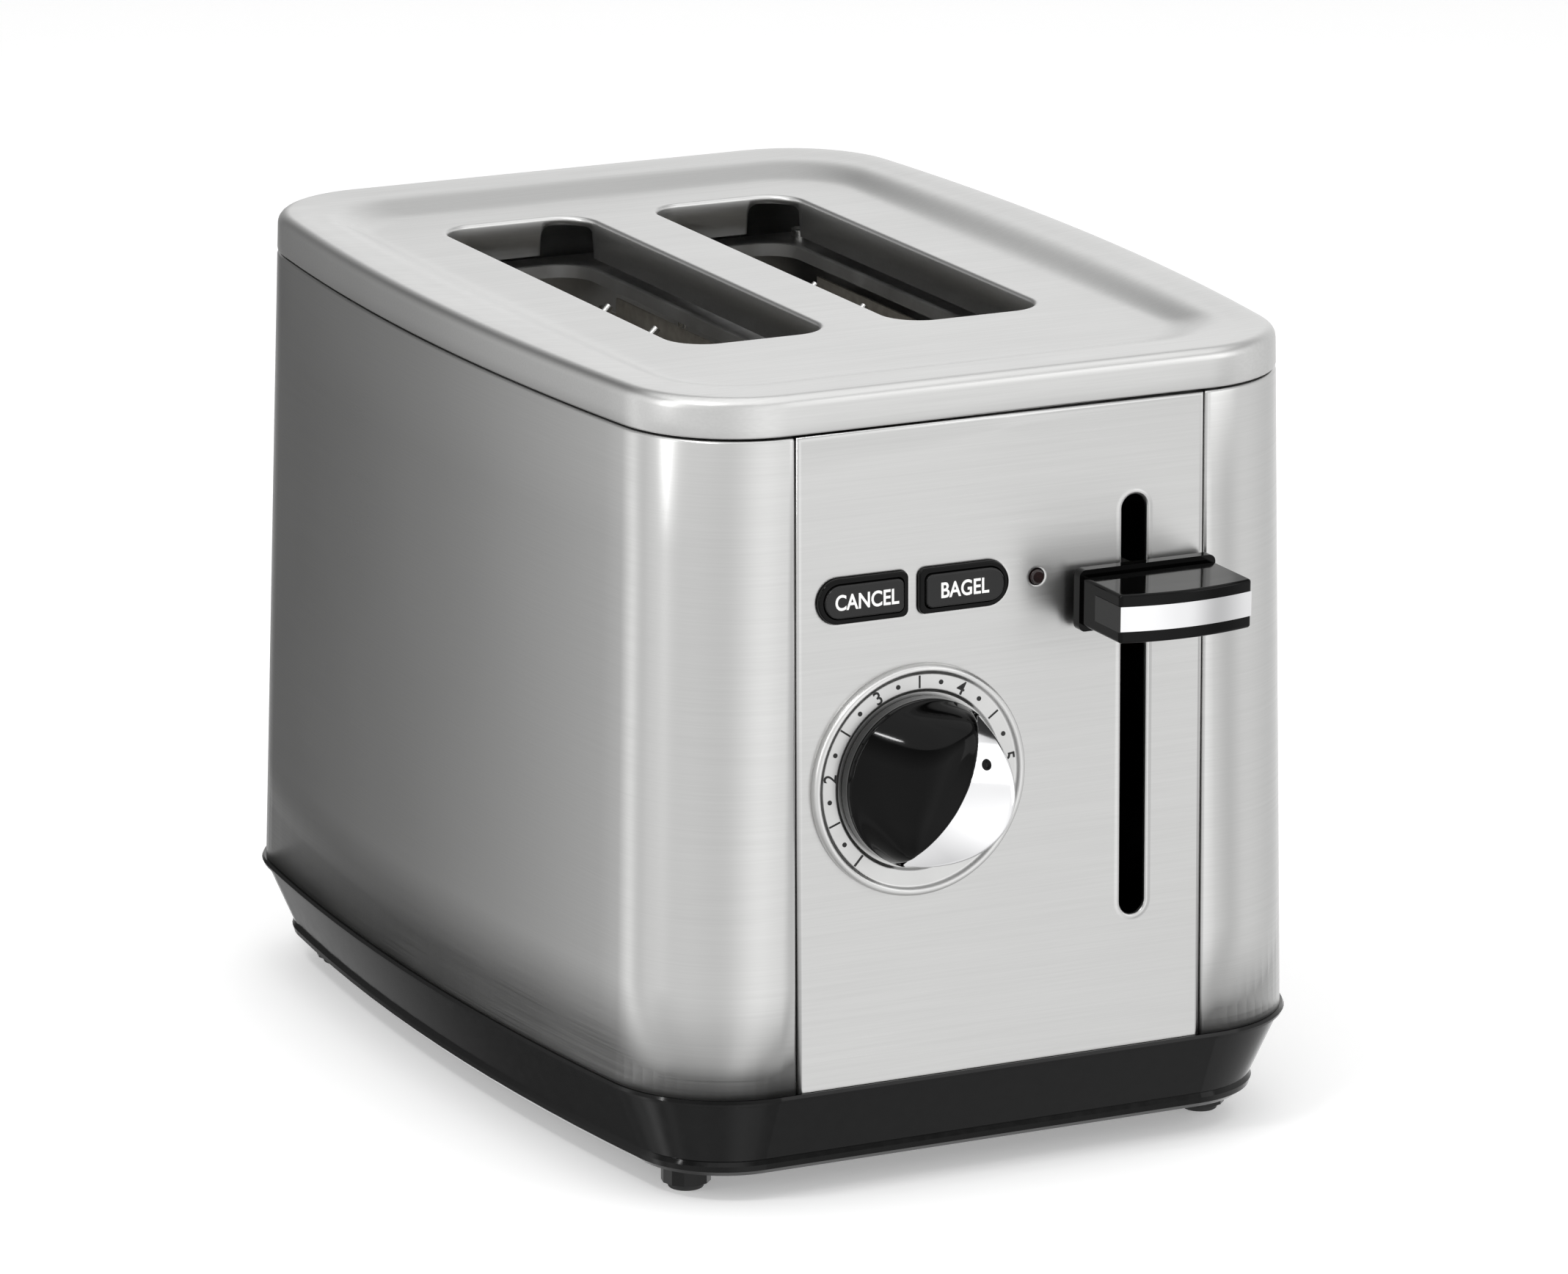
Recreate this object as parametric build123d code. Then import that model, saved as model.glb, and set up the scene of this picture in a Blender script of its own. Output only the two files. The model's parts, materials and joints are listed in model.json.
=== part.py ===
from build123d import *
import os
from math import atan2, cos, pi, radians, sin, sqrt, tan

# Two-slice pop-up toaster, in millimetres. The front, with the lever and dial, faces -Y and +Z is up.
# It is modelled about the middle of its body, standing on Z = 0, and moved at the end so that the
# origin lies under the middle of its whole box.

# ---- Body
body_width = 180.0          # across the bowed sides, at the foot of the steel
body_length = 241.2         # front panel to rear panel, at the foot of the steel
overall_height = 186.2      # floor to the top of the lid's rim
side_bow_radius = 768.0     # the long sides bow outwards
corner_radius = 28.6
wall_lean = 1.2             # degrees that every wall leans inwards
sheet = 0.8                 # thickness of the outer steel
steel_foot_z = 27.0         # where the steel stands on the base
lid_height = 9.0
seam_gap = 0.4              # open line under the lid
seam_inset = 4.4            # from the end of a flat end face to the upright seam
upright_seam_gap = 0.3
shell_flange = 5.0          # inward flange along the top of the shells

# ---- Lid
rim_round = 2.5
pan_depth = 3.4             # the lid's middle lies this far below its rim
pan_front_margin = 31.0     # from the steel's front at its foot to the pan
pan_rear_margin = 28.0
pan_side_margin = 28.0
pan_corner = 16.0
pan_slope = 5.0
slot_width = 38.0
slot_length = 133.2
slot_corner = 9.0
slot_spacing = 55.2         # between the middles of the two bread slots
slot_mid_y = 14.6
slot_edge_round = 1.0
flange_depth = 9.2          # down-turned edge of each bread slot
notch_width = 11.0
notch_top_gap = 1.6

# ---- Base
base_foot_z = 6.8
skirt_inset = 6.6
lip_height = 3.8
bead_proud = 1.0
base_wall = 2.4
base_ridge_height = 2.4     # ridge that locates the steel
ridge_clearance = 0.2
foot_x = 66.2
foot_y = 94.9
foot_radius = 5.65
foot_sides = 12
pad_radius = 4.1
pad_height = 1.6
pad_spigot_radius = 2.2
pad_spigot_length = 2.5

# ---- Heating chamber
inner_sheet = 0.8
chamber_front_margin = 8.0  # from the bread slots to the front frame plate
chamber_rear_margin = 6.0
chamber_side_margin = 6.0   # from the outer mica cards to the reflectors
frame_foot_z = 22.0         # the frame plates stand on bosses of the base
frame_flange = 10.0
reflector_lift = 4.0        # above the feet of the frame plates
frame_foot_inset = 3.0
foot_tab_half = 3.0         # half the width of each foot of the frame plates
boss_radius = 4.5
screw_head_recess = 1.4     # the bosses' wall round each screw head
inner_plate_drop = 5.6      # from the slot flanges down to the inner top plate
opening_inset = 0.5         # the inner openings are this much smaller than the slots
bead_width = 2.2
bead_height = 2.2
outer_card_offset = 26.4    # outer mica card from the middle of its slot
card_thickness = 0.6
card_low_z = 44.0
card_top_gap = 6.0
card_end_gap = 9.0
card_tab_height = 10.0
card_tab_clearance = 0.2
ribbon_width = 1.4
ribbon_thickness = 0.3
ribbon_gap = 0.1
ribbon_pitch = 9.0
ribbon_margin = 18.0

# ---- Bread guides
guide_offset = 16.5         # from the middle of a slot
guide_pivot_z = 40.0
guide_pivot_radius = 1.2
guide_wire_radius = 1.0
guide_wire_pitch = 25.5
guide_wire_count = 5
guide_flare = 3.0
guide_top_gap = 4.5
pivot_clearance = 0.05
pivot_end = 2.0             # how far a pivot wire passes through its plate

# ---- Lever, carriage and lifters
lever_slot_x = 33.45
lever_slot_width = 6.3
lever_slot_low = 57.8
lever_slot_high = 155.0
lever_rest_z = 133.4
lever_travel_down = 70.0
lever_travel_up = 13.0
handle_offset_x = 0.7
handle_width = 33.4
handle_height = 11.2
handle_reach = 17.6         # of the grip, at its corners
handle_bow = 2.4
handle_gap = 2.3            # from the panel to the back of the handle, at rest
handle_flange_thickness = 2.6
handle_flange_height = 14.2
handle_flange_margin = 0.6
handle_flange_corner = 1.6
handle_groove_width = 1.4
handle_groove_depth = 1.2
band_height = 5.7
band_depth = 0.9
band_side_length = 11.0
band_clearance = 0.05
arm_thickness = 3.0
arm_height = 10.0
arm_tongue_height = 6.0
arm_tongue_length = 7.0
carriage_gap = 4.5          # from the front frame plate to the carriage
carriage_thickness = 1.5
carriage_low_z = 98.0
carriage_bar_height = 10.0
lifter_thickness = 1.2
lifter_height = 8.0
lifter_tab_width = 18.0
lifter_tab_length = 5.0
lifter_tab_pitch = 16.0
lifter_tab_rise = 0.9
lifter_tail = 2.0           # behind the rear frame plate
lifter_end_play = 3.0       # in the frame plates' slots, above the travel
lifter_clearance = 1.6      # between a lifter and its guide slot
rod_x = 21.5
rod_setback = 5.5           # from the carriage's front face to the rod's axis
rod_radius = 2.0
rod_clearance = 0.05
bush_width = 14.0
bush_depth = 12.0
bush_height = 24.0
bush_low_z = 112.0
rod_top_z = 161.5
rod_socket_wall = 2.5
bracket_half_width = 8.0
bracket_reach = 6.0         # in front of the rod's axis
bracket_thickness = 1.5
bracket_leg = 13.5
bracket_drop = 1.5          # from the rod's top to the bracket's
carriage_end = 6.0          # past the middles of the slots
carriage_margin = 2.0       # past the bush
carriage_arm_margin = 5.0   # past the lever's arm
spring_radius = 3.4
spring_wire_radius = 0.5
spring_turns = 17
spring_seat_z = 14.0
latch_x = -6.0
latch_width = 16.0
latch_depth = 13.0
latch_thickness = 1.5
latch_gap = 0.4             # between latch plate and magnet with the lever down
latch_lug_height = 8.0
latch_lug_thickness = 1.0
magnet_width = 14.0
magnet_depth = 10.0
magnet_pole_width = 4.0
magnet_yoke_height = 4.0
coil_wall = 2.4
coil_lift = 0.2             # above the yoke
coil_drop = 2.5             # below the pole's face
coil_clearance = 0.1
coil_corner = 1.5

# ---- Controls on the front panel
dial_x = -21.3
dial_z = 96.0
knob_radius = 19.3
knob_gap = 0.9              # open ring round the knob
bezel_ring = 6.3            # width of the marked ring
bezel_height = 2.2
bezel_floor = 0.5
knob_lift = 0.4             # running gap over the bezel's floor
knob_turn = -30.0           # degrees from +X to the chrome side of the knob, at rest
knob_ridge_height = 18.4
knob_rim_height = 13.0
knob_edge_height = 5.0
band_edge = 4.6             # from the knob's axis to its chrome part
shaft_radius = 3.0
shaft_clearance = 0.06
cancel_x = -35.05
bagel_x = -9.9
button_z = 138.9
bezel_width = 22.4
bezel_bar_height = 10.4
button_wall = 1.1
button_clearance = 0.3
button_corner = 1.6
button_proud = 1.7
button_bezel_proud = 1.0
button_travel = 1.5
button_stem_radius = 1.5
lens_x = 8.7
lens_radius = 1.7
lens_proud = 0.6
board_depth = 13.0          # from the front panel's outer face to the board
board_thickness = 1.6
board_left = -49.0
board_right = 14.0
board_low_z = 58.0
board_high_z = 156.0
board_hole_inset = 4.0
spacer_radius = 2.5
screw_radius = 1.25
switch_size = 7.0
switch_height = 4.0
switch_bore_depth = 3.2
stem_overlap = 0.8          # of each stem in its switch
stem_clearance = 0.2
button_head_depth = 2.5
button_bezel_depth = 3.0
control_size = 17.0
control_neck_length = 3.2
control_neck_wall = 1.4
control_front_gap = 3.4     # from the panel's back to the control's case
control_floor = 1.6
shaft_end = 2.0             # from the board to the shaft
shaft_in_knob = 9.0
relay_size = (16.0, 20.0, 15.0)
relay_from_right = 14.0
relay_from_low = 22.0
capacitor_places = ((-20.0, 78.0), (-34.0, 78.0))
capacitor_radius = 4.5
capacitor_length = 12.0
resistor_place = (-30.0, 112.0)
resistor_radius = 2.0
resistor_length = 12.0
board_screw_head = 2.4
board_screw_head_height = 1.6
board_screw_length = 7.2

# ---- Crumb tray and cord inlet
tray_half_width = 50.0
tray_low_z = 11.8
tray_height = 6.0
tray_front_margin = 6.0     # from the front frame plate to the tray
tray_clearance = 0.5
rail_inset = 4.0            # the base's rails, in from the tray's edges
rail_half = 1.0
tray_pull_depth = 7.0
pull_grip_width = 44.0
pull_grip_reach = 4.0
pull_grip_half_height = 1.6
grommet_x = -38.0
grommet_z = 40.0
grommet_radius = 5.5
grommet_bore = 3.6
grommet_flange = 2.0
grommet_proud = 0.3         # its flat flange clears the leaning panel
grommet_flange_grow = 1.6   # past the hole, outside
grommet_barb_grow = 1.2     # past the hole, inside
grommet_neck = 4.0          # behind the panel
terminal_x = -52.0
terminal_width = 20.0
terminal_depth = 14.0
terminal_height = 14.0
terminal_front_gap = 16.6   # from the panel's foot back to the block
terminal_pitch = 10.0
terminal_bore = 2.4
frame_screw_head = 2.6
frame_screw_head_height = 1.8
frame_screw_length = 5.0

# ---- Worked-out sizes
lean = tan(radians(wall_lean))
lid_foot_z = overall_height - lid_height
shell_top_z = lid_foot_z - seam_gap
pan_z = overall_height - pan_depth
flange_low_z = pan_z - flange_depth
inner_plate_z = flange_low_z - inner_plate_drop
slot_x = slot_spacing / 2
front_plate_y = slot_mid_y - slot_length / 2 - chamber_front_margin
rear_plate_y = slot_mid_y + slot_length / 2 + chamber_rear_margin
chamber_half_width = slot_x + outer_card_offset + chamber_side_margin
frame_foot_x = chamber_half_width - frame_foot_inset
carriage_y = front_plate_y - carriage_gap
rod_y = carriage_y - carriage_thickness - rod_setback
bow_offset = sqrt((side_bow_radius - corner_radius) ** 2 - (body_length / 2 - corner_radius) ** 2)
flat_half_width = body_width / 2 - side_bow_radius + bow_offset
seam_x = flat_half_width - seam_inset
bezel_inner_radius = knob_radius + knob_gap
bezel_radius = bezel_inner_radius + bezel_ring
panel_frame = Plane((0, -body_length / 2, steel_foot_z), x_dir=(1, 0, 0),
                    z_dir=(0, -cos(radians(wall_lean)), sin(radians(wall_lean))))
far = 400.0                 # longer than anything here, for cutting boxes


# ---- Helpers
def block(low, high):
    """A box from its lowest corner to its highest."""
    size = [b - a for a, b in zip(low, high)]
    middle = [(a + b) / 2 for a, b in zip(low, high)]
    return Pos(*middle) * Box(*size)


def upright(x, y, low, high, radius):
    """An upright cylinder."""
    return Pos(x, y, (low + high) / 2) * Cylinder(radius, high - low)


def along_y(x, z, near, far_end, radius):
    """A cylinder along Y."""
    return Pos(x, (near + far_end) / 2, z) * Rot(90, 0, 0) * Cylinder(radius, far_end - near)


def outline(z, half_width, half_length, inset):
    """The body's plan: flat ends, bowed sides and round corners, moved inwards by inset."""
    corner = corner_radius - inset
    bow = side_bow_radius - inset
    reach = half_length - corner_radius
    shift = half_width - side_bow_radius
    middle_x = shift + sqrt((side_bow_radius - corner_radius) ** 2 - reach ** 2)
    turn = atan2(reach, middle_x - shift)
    half_turn = (turn + pi / 2) / 2
    end_y = half_length - inset
    edges = []
    for side in (1, -1):
        a = (side * -middle_x, side * end_y)
        b = (side * middle_x, side * end_y)
        bend = (side * (middle_x + corner * cos(half_turn)), side * (reach + corner * sin(half_turn)))
        c = (side * (middle_x + corner * cos(turn)), side * (reach + corner * sin(turn)))
        middle = (side * (shift + bow), 0)
        d = (side * (middle_x + corner * cos(turn)), -side * (reach + corner * sin(turn)))
        end_bend = (side * (middle_x + corner * cos(half_turn)), -side * (reach + corner * sin(half_turn)))
        e = (side * middle_x, -side * end_y)
        edges += [Line(a, b), ThreePointArc(b, bend, c), ThreePointArc(c, middle, d),
                  ThreePointArc(d, end_bend, e)]
    return Pos(0, 0, z) * make_face(Wire(edges))


def wall_outline(z, inset=0.0):
    """The plan of the leaning steel walls at a height."""
    drop = (z - steel_foot_z) * lean
    return outline(z, body_width / 2 - drop, body_length / 2 - drop, inset)


def base_outline(z, inset):
    """The plan of the base at a height."""
    return outline(z, body_width / 2, body_length / 2, inset)


def wall_block(low, high, inset=0.0):
    """A solid that fills the leaning walls between two heights."""
    return loft([wall_outline(low, inset), wall_outline(high, inset)], ruled=True)


def base_block(stations):
    """A solid through the base's plan at each (height, inset)."""
    return loft([base_outline(z, inset) for z, inset in stations], ruled=True)


def panel_at(x, z, out=0.0):
    """A place on the front panel: local X across, Y up the panel and Z out of it."""
    return panel_frame.location * Pos(x, (z - steel_foot_z) / cos(radians(wall_lean)), out)


def slot_face(side, grow=0.0, z=0.0):
    """The plan of one bread slot."""
    return Pos(side * slot_x, slot_mid_y, z) * RectangleRounded(
        slot_width + 2 * grow, slot_length + 2 * grow, slot_corner + grow)


def pan_face(z, grow=0.0):
    """The plan of the lid's recessed middle."""
    near = -body_length / 2 + pan_front_margin
    rear = body_length / 2 - pan_rear_margin
    width = body_width - 2 * pan_side_margin
    return Pos(0, (near + rear) / 2, z) * RectangleRounded(
        width + 2 * grow, rear - near + 2 * grow, pan_corner + grow)


def bar_face(width, height, side, corner):
    """A bar whose outer end is half round and whose other end has small corners."""
    half = height / 2
    square_part = Pos(-side * half / 2, 0) * RectangleRounded(width - half, height, corner)
    round_end = Pos(side * (width / 2 - half), 0) * Circle(half)
    joint = Pos(side * (width / 2 - half - corner), 0) * Rectangle(2 * corner, height)
    return square_part + round_end + joint


# ---- Outer shell
def top_cover():
    """The pressed lid: rim, recessed pan and two slots with down-turned flanges."""
    cover = wall_block(lid_foot_z, overall_height)
    cover = fillet(cover.faces().sort_by(Axis.Z)[-1].edges(), rim_round)
    cover -= loft([pan_face(pan_z), pan_face(overall_height + 0.01, pan_slope)], ruled=True)
    under_z = pan_z - sheet
    cover -= wall_block(lid_foot_z - 1, under_z, sheet)
    rim_hollow = wall_block(under_z - 0.1, overall_height - sheet, rim_round - 0.3)
    rim_hollow -= loft([pan_face(under_z - 0.2, sheet), pan_face(overall_height, pan_slope + sheet)],
                       ruled=True)
    cover -= rim_hollow
    for side in (-1, 1):
        flange = extrude(slot_face(side, sheet, flange_low_z), pan_z - sheet / 2 - flange_low_z)
        right = side * slot_x + slot_width / 2
        rear = slot_mid_y + slot_length / 2
        notch = block((right - notch_width, rear - 1, flange_low_z - 1),
                      (right - 1, rear + 2 * sheet, under_z - notch_top_gap))
        cover += flange - notch
    for side in (-1, 1):
        cover -= extrude(slot_face(side, 0, flange_low_z - 1), far)
    edges = [e for e in cover.edges().filter_by_position(Axis.Z, pan_z - 0.01, pan_z + 0.01)
             if abs(abs(e.center().X) - slot_x) < slot_width / 2 + 0.5
             and abs(e.center().Y - slot_mid_y) < slot_length / 2 + 0.5]
    return fillet(edges, slot_edge_round)


def steel_wall():
    """The whole leaning steel wall with its inward top flange, before it is split at the seams."""
    wall = wall_block(steel_foot_z, shell_top_z) - wall_block(steel_foot_z - 1, shell_top_z - sheet, sheet)
    return wall - wall_block(shell_top_z - 2 * sheet, shell_top_z + 1, sheet + shell_flange)


def side_shell(side):
    """One steel wrap: a bowed side and two round corners."""
    edge = seam_x + upright_seam_gap / 2
    keep = block((edge, -far, 0), (far, far, far)) if side > 0 else block((-far, -far, 0), (-edge, far, far))
    return steel_wall() & keep


def panel_blank(side):
    """The steel between the seams, at the front (-1) or the rear (1)."""
    edge = seam_x - upright_seam_gap / 2
    keep = block((-edge, 0, 0), (edge, far, far)) if side > 0 else block((-edge, -far, 0), (edge, 0, far))
    return steel_wall() & keep


def lever_slot(grow=0.0):
    """The upright slot for the lever."""
    middle_z = (lever_slot_low + lever_slot_high) / 2
    length = lever_slot_high - lever_slot_low + 2 * grow
    face = SlotOverall(length, lever_slot_width + 2 * grow, rotation=90)
    return panel_at(lever_slot_x, middle_z, -5) * extrude(face, 10)


def front_panel():
    """The control panel with its openings."""
    panel = panel_blank(-1) - lever_slot()
    panel -= panel_at(dial_x, dial_z) * Cylinder(shaft_radius + 2, 10)
    for x, side in ((cancel_x, -1), (bagel_x, 1)):
        panel -= panel_at(x, button_z, -5) * extrude(
            bar_face(bezel_width - 0.8, bezel_bar_height - 0.8, side, button_corner), 10)
    return panel - panel_at(lens_x, button_z) * Cylinder(lens_radius + 0.1, 10)


def rear_panel():
    """The plain back, with the hole for the cord's grommet."""
    return panel_blank(1) - along_y(grommet_x, grommet_z, body_length / 2 - 10, body_length / 2 + 10,
                                    grommet_radius)


# ---- Base
def base_solid():
    """The base's outer form: rounded lip, tapered skirt and the bead under the steel."""
    lip_top = base_foot_z + lip_height
    return base_block([(base_foot_z, skirt_inset + 1.4), (base_foot_z + 1.2, skirt_inset),
                       (lip_top - 1.2, skirt_inset - 0.4), (lip_top - 0.2, skirt_inset + 0.3),
                       (lip_top, skirt_inset), (steel_foot_z - 1.8, 0.2),
                       (steel_foot_z - 1.4, -bead_proud + 0.3), (steel_foot_z - 0.7, -bead_proud),
                       (steel_foot_z, -bead_proud + 0.4)])


def base_floor_z():
    return base_foot_z + base_wall


def tray_opening(clearance):
    """The space behind the tray's pull, through the rear of the skirt."""
    return block((-tray_half_width - clearance, rear_plate_y + frame_flange + 2, tray_low_z - clearance),
                 (tray_half_width + clearance, far, tray_low_z + tray_height + clearance))


def base():
    """The moulded base: floor, skirt, locating ridge, bosses and tray rails."""
    hollow = base_block([(base_floor_z(), skirt_inset + base_wall + 0.6),
                         (base_foot_z + lip_height, skirt_inset + base_wall),
                         (steel_foot_z - 2, base_wall + 0.4), (steel_foot_z + 4, base_wall + 0.4)])
    ridge_inset = sheet + ridge_clearance
    ridge = base_block([(steel_foot_z - 1, ridge_inset),
                        (steel_foot_z + base_ridge_height, ridge_inset + base_ridge_height * lean)])
    body = base_solid() + ridge - hollow
    for x, y in frame_feet():
        body += upright(x, y, base_foot_z + 1, frame_foot_z, boss_radius)
        body -= upright(x, y, base_foot_z - 1, frame_foot_z + 1, screw_radius)
        body -= upright(x, y, base_foot_z - 1, base_foot_z + base_wall, boss_radius - screw_head_recess)
    for x in (-tray_half_width + rail_inset, tray_half_width - rail_inset):
        body += block((x - rail_half, front_plate_y + frame_flange, base_floor_z() - 0.5),
                      (x + rail_half, rear_plate_y + frame_flange, tray_low_z - 0.2))
    body += upright(rod_x, rod_y, base_floor_z() - 0.5, spring_seat_z, rod_radius + rod_socket_wall)
    body -= upright(rod_x, rod_y, base_floor_z(), spring_seat_z + 1, rod_radius)
    for x in (-foot_x, foot_x):
        for y in (-foot_y, foot_y):
            body -= upright(x, y, base_foot_z - 1, far, pad_spigot_radius)
            body -= upright(x, y, base_foot_z + base_wall + 2, far, pad_spigot_radius + 1)
    return body - tray_opening(tray_clearance)


def feet():
    """Four facetted posts under the base."""
    posts = []
    for x in (-foot_x, foot_x):
        for y in (-foot_y, foot_y):
            post = Pos(x, y, pad_height) * extrude(RegularPolygon(foot_radius, foot_sides),
                                                   base_foot_z - pad_height)
            socket = upright(x, y, pad_height - 1, pad_height + pad_spigot_length, pad_spigot_radius)
            posts.append(post - socket)
    return Compound(children=posts)


def foot_pads():
    """Four soft pads, each pushed into its post by a spigot."""
    pads = []
    for x in (-foot_x, foot_x):
        for y in (-foot_y, foot_y):
            pad = upright(x, y, 0, pad_height, pad_radius)
            pad = fillet(pad.edges().sort_by(Axis.Z)[0], 0.5)
            pads.append(pad + upright(x, y, pad_height - 0.5, pad_height + pad_spigot_length - 0.2,
                                      pad_spigot_radius - 0.05))
    return Compound(children=pads)


# ---- Heating chamber
def guide_places():
    """Each guide's name, slot side and side within the slot."""
    return [("outer_guide_left", -1, -1), ("inner_guide_left", -1, 1),
            ("inner_guide_right", 1, -1), ("outer_guide_right", 1, 1)]


def guide_x(slot_side, guide_side):
    return slot_side * slot_x + guide_side * guide_offset


def frame_feet():
    """Where each foot of the frame plates is screwed down, and above it the inner top plate."""
    return [(x, y) for x in (-frame_foot_x, frame_foot_x)
            for y in (front_plate_y - frame_flange / 2, rear_plate_y + inner_sheet + frame_flange / 2)]


def card_places():
    """X of the three mica cards."""
    outer = slot_x + outer_card_offset
    return {"left": -outer, "centre": 0.0, "right": outer}


def card_tab_heights():
    """The low edge of the two rows of card tabs."""
    return (card_low_z + 4, inner_plate_z - card_top_gap - 4 - card_tab_height)


def frame_plate(y, outward):
    """One end of the heating chamber, with flanges at its foot and top."""
    half_width = chamber_half_width
    plate = block((-half_width, y, frame_foot_z), (half_width, y + inner_sheet, inner_plate_z))
    face_y = y if outward < 0 else y + inner_sheet
    low_y, high_y = sorted((face_y, face_y + outward * frame_flange))
    for x in (-frame_foot_x, frame_foot_x):
        plate += block((x - foot_tab_half, low_y, frame_foot_z),
                       (x + foot_tab_half, high_y, frame_foot_z + inner_sheet))
    plate += block((-half_width, low_y, inner_plate_z - inner_sheet), (half_width, high_y, inner_plate_z))
    screw_y = face_y + outward * frame_flange / 2
    for x in (-frame_foot_x, frame_foot_x):
        for z in (frame_foot_z, inner_plate_z):
            plate -= upright(x, screw_y, z - 2, z + 2, screw_radius)
    for side in (-1, 1):
        half = lifter_thickness / 2 + lifter_clearance
        plate -= block((side * slot_x - half, y - 1, carriage_low_z - lever_travel_down - 2),
                       (side * slot_x + half, y + inner_sheet + 1,
                        carriage_low_z + lifter_height + lever_travel_up + lifter_end_play))
    for name, slot_side, guide_side in guide_places():
        plate -= along_y(guide_x(slot_side, guide_side), guide_pivot_z, y - 1, y + inner_sheet + 1,
                         guide_pivot_radius + pivot_clearance)
    for x in card_places().values():
        for low in card_tab_heights():
            half = card_thickness / 2 + card_tab_clearance
            plate -= block((x - half, y - 1, low - card_tab_clearance),
                           (x + half, y + inner_sheet + 1, low + card_tab_height + card_tab_clearance))
    return plate


def reflector(side):
    """The polished side wall of the chamber."""
    low_x, high_x = sorted((side * chamber_half_width, side * (chamber_half_width + inner_sheet)))
    return block((low_x, front_plate_y, frame_foot_z + reflector_lift),
                 (high_x, rear_plate_y + inner_sheet, inner_plate_z))


def inner_top_plate():
    """The plate under the lid, with a rolled bead round each opening."""
    top = inner_plate_z + inner_sheet
    plate = block((-chamber_half_width - 3, front_plate_y - frame_flange, inner_plate_z),
                  (chamber_half_width + 3, rear_plate_y + inner_sheet + frame_flange, top))
    for side in (-1, 1):
        bead = extrude(slot_face(side, bead_width - opening_inset, top - 0.1), bead_height + 0.1)
        bead = fillet(bead.faces().sort_by(Axis.Z)[-1].edges(), bead_width * 0.4)
        plate += bead
    for side in (-1, 1):
        plate -= extrude(slot_face(side, -opening_inset, inner_plate_z - 1), far)
    for x, y in frame_feet():
        plate -= upright(x, y, inner_plate_z - 1, top + 1, screw_radius)
    return plate


def mica_card(x):
    """A mica sheet that carries the heating ribbon, held by tabs in the frame plates."""
    half = card_thickness / 2
    near = front_plate_y + card_end_gap
    rear = rear_plate_y - card_end_gap
    card = block((x - half, near, card_low_z), (x + half, rear, inner_plate_z - card_top_gap))
    for low in card_tab_heights():
        card += block((x - half, front_plate_y - 1, low), (x + half, rear_plate_y + inner_sheet + 1,
                                                          low + card_tab_height))
    return card


def heater_winding(x):
    """Flat heating ribbon round a card: one closed loop for each turn."""
    inner = card_thickness / 2 + ribbon_gap
    outer = inner + ribbon_thickness
    near = front_plate_y + card_end_gap - ribbon_gap
    rear = rear_plate_y - card_end_gap + ribbon_gap
    low = card_low_z + ribbon_margin
    count = int((inner_plate_z - card_top_gap - ribbon_margin - low) / ribbon_pitch) + 1
    loops = []
    for turn in range(count):
        z = low + turn * ribbon_pitch
        loop = block((x - outer, near - ribbon_thickness, z),
                     (x + outer, rear + ribbon_thickness, z + ribbon_width))
        loops.append(loop - block((x - inner, near, z - 1), (x + inner, rear, z + ribbon_width + 1)))
    return Compound(children=loops)


def bread_guide(slot_side, guide_side):
    """A wire grill on a pivot wire, whose flared tops lead the bread in."""
    x = guide_x(slot_side, guide_side)
    top = inner_plate_z - guide_top_gap - guide_flare
    grill = along_y(x, guide_pivot_z, front_plate_y - pivot_end, rear_plate_y + inner_sheet + pivot_end,
                    guide_pivot_radius)
    span = (guide_wire_count - 1) * guide_wire_pitch
    for row in range(guide_wire_count):
        y = slot_mid_y - span / 2 + row * guide_wire_pitch
        grill += upright(x, y, guide_pivot_z, top, guide_wire_radius)
        grill += Pos(x, y, top) * Sphere(guide_wire_radius)
        slant = guide_flare * sqrt(2)
        grill += (Pos(x + guide_side * guide_flare / 2, y, top + guide_flare / 2)
                  * Rot(0, guide_side * 45, 0) * Cylinder(guide_wire_radius, slant))
    for z in (guide_pivot_z + 30, top - 12):
        grill += along_y(x, z, slot_mid_y - span / 2 - 6, slot_mid_y + span / 2 + 6, guide_wire_radius)
    return grill


# ---- Carriage, lifters and latch
def carriage():
    """The pressed carriage: a bar across both lifters and a plate up to the lever's arm."""
    front = carriage_y - carriage_thickness
    edge = slot_x + carriage_end
    bar = block((-edge, front, carriage_low_z), (edge, carriage_y, carriage_low_z + carriage_bar_height))
    upper = block((rod_x - bush_width / 2 - carriage_margin, front, carriage_low_z),
                  (lever_slot_x + carriage_arm_margin, carriage_y, lever_rest_z + arm_height / 2 + 1))
    return bar + upper


def bread_lifter(side):
    """A toothed strip that carries the bread and slides in slots of both frame plates."""
    x = side * slot_x
    half = lifter_thickness / 2
    top = carriage_low_z + lifter_height
    strip = block((x - half, carriage_y, carriage_low_z),
                  (x + half, rear_plate_y + inner_sheet + lifter_tail, top))
    count = int(slot_length / lifter_tab_pitch)
    for tab in range(count):
        y = slot_mid_y + (tab - (count - 1) / 2) * lifter_tab_pitch
        strip += block((x - lifter_tab_width / 2, y - lifter_tab_length / 2, top - 0.1),
                       (x + lifter_tab_width / 2, y + lifter_tab_length / 2, top + lifter_tab_rise))
    return strip


def lever_front_y():
    """The back of the lever's handle."""
    return -body_length / 2 + (lever_rest_z - steel_foot_z) * lean - handle_gap


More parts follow.
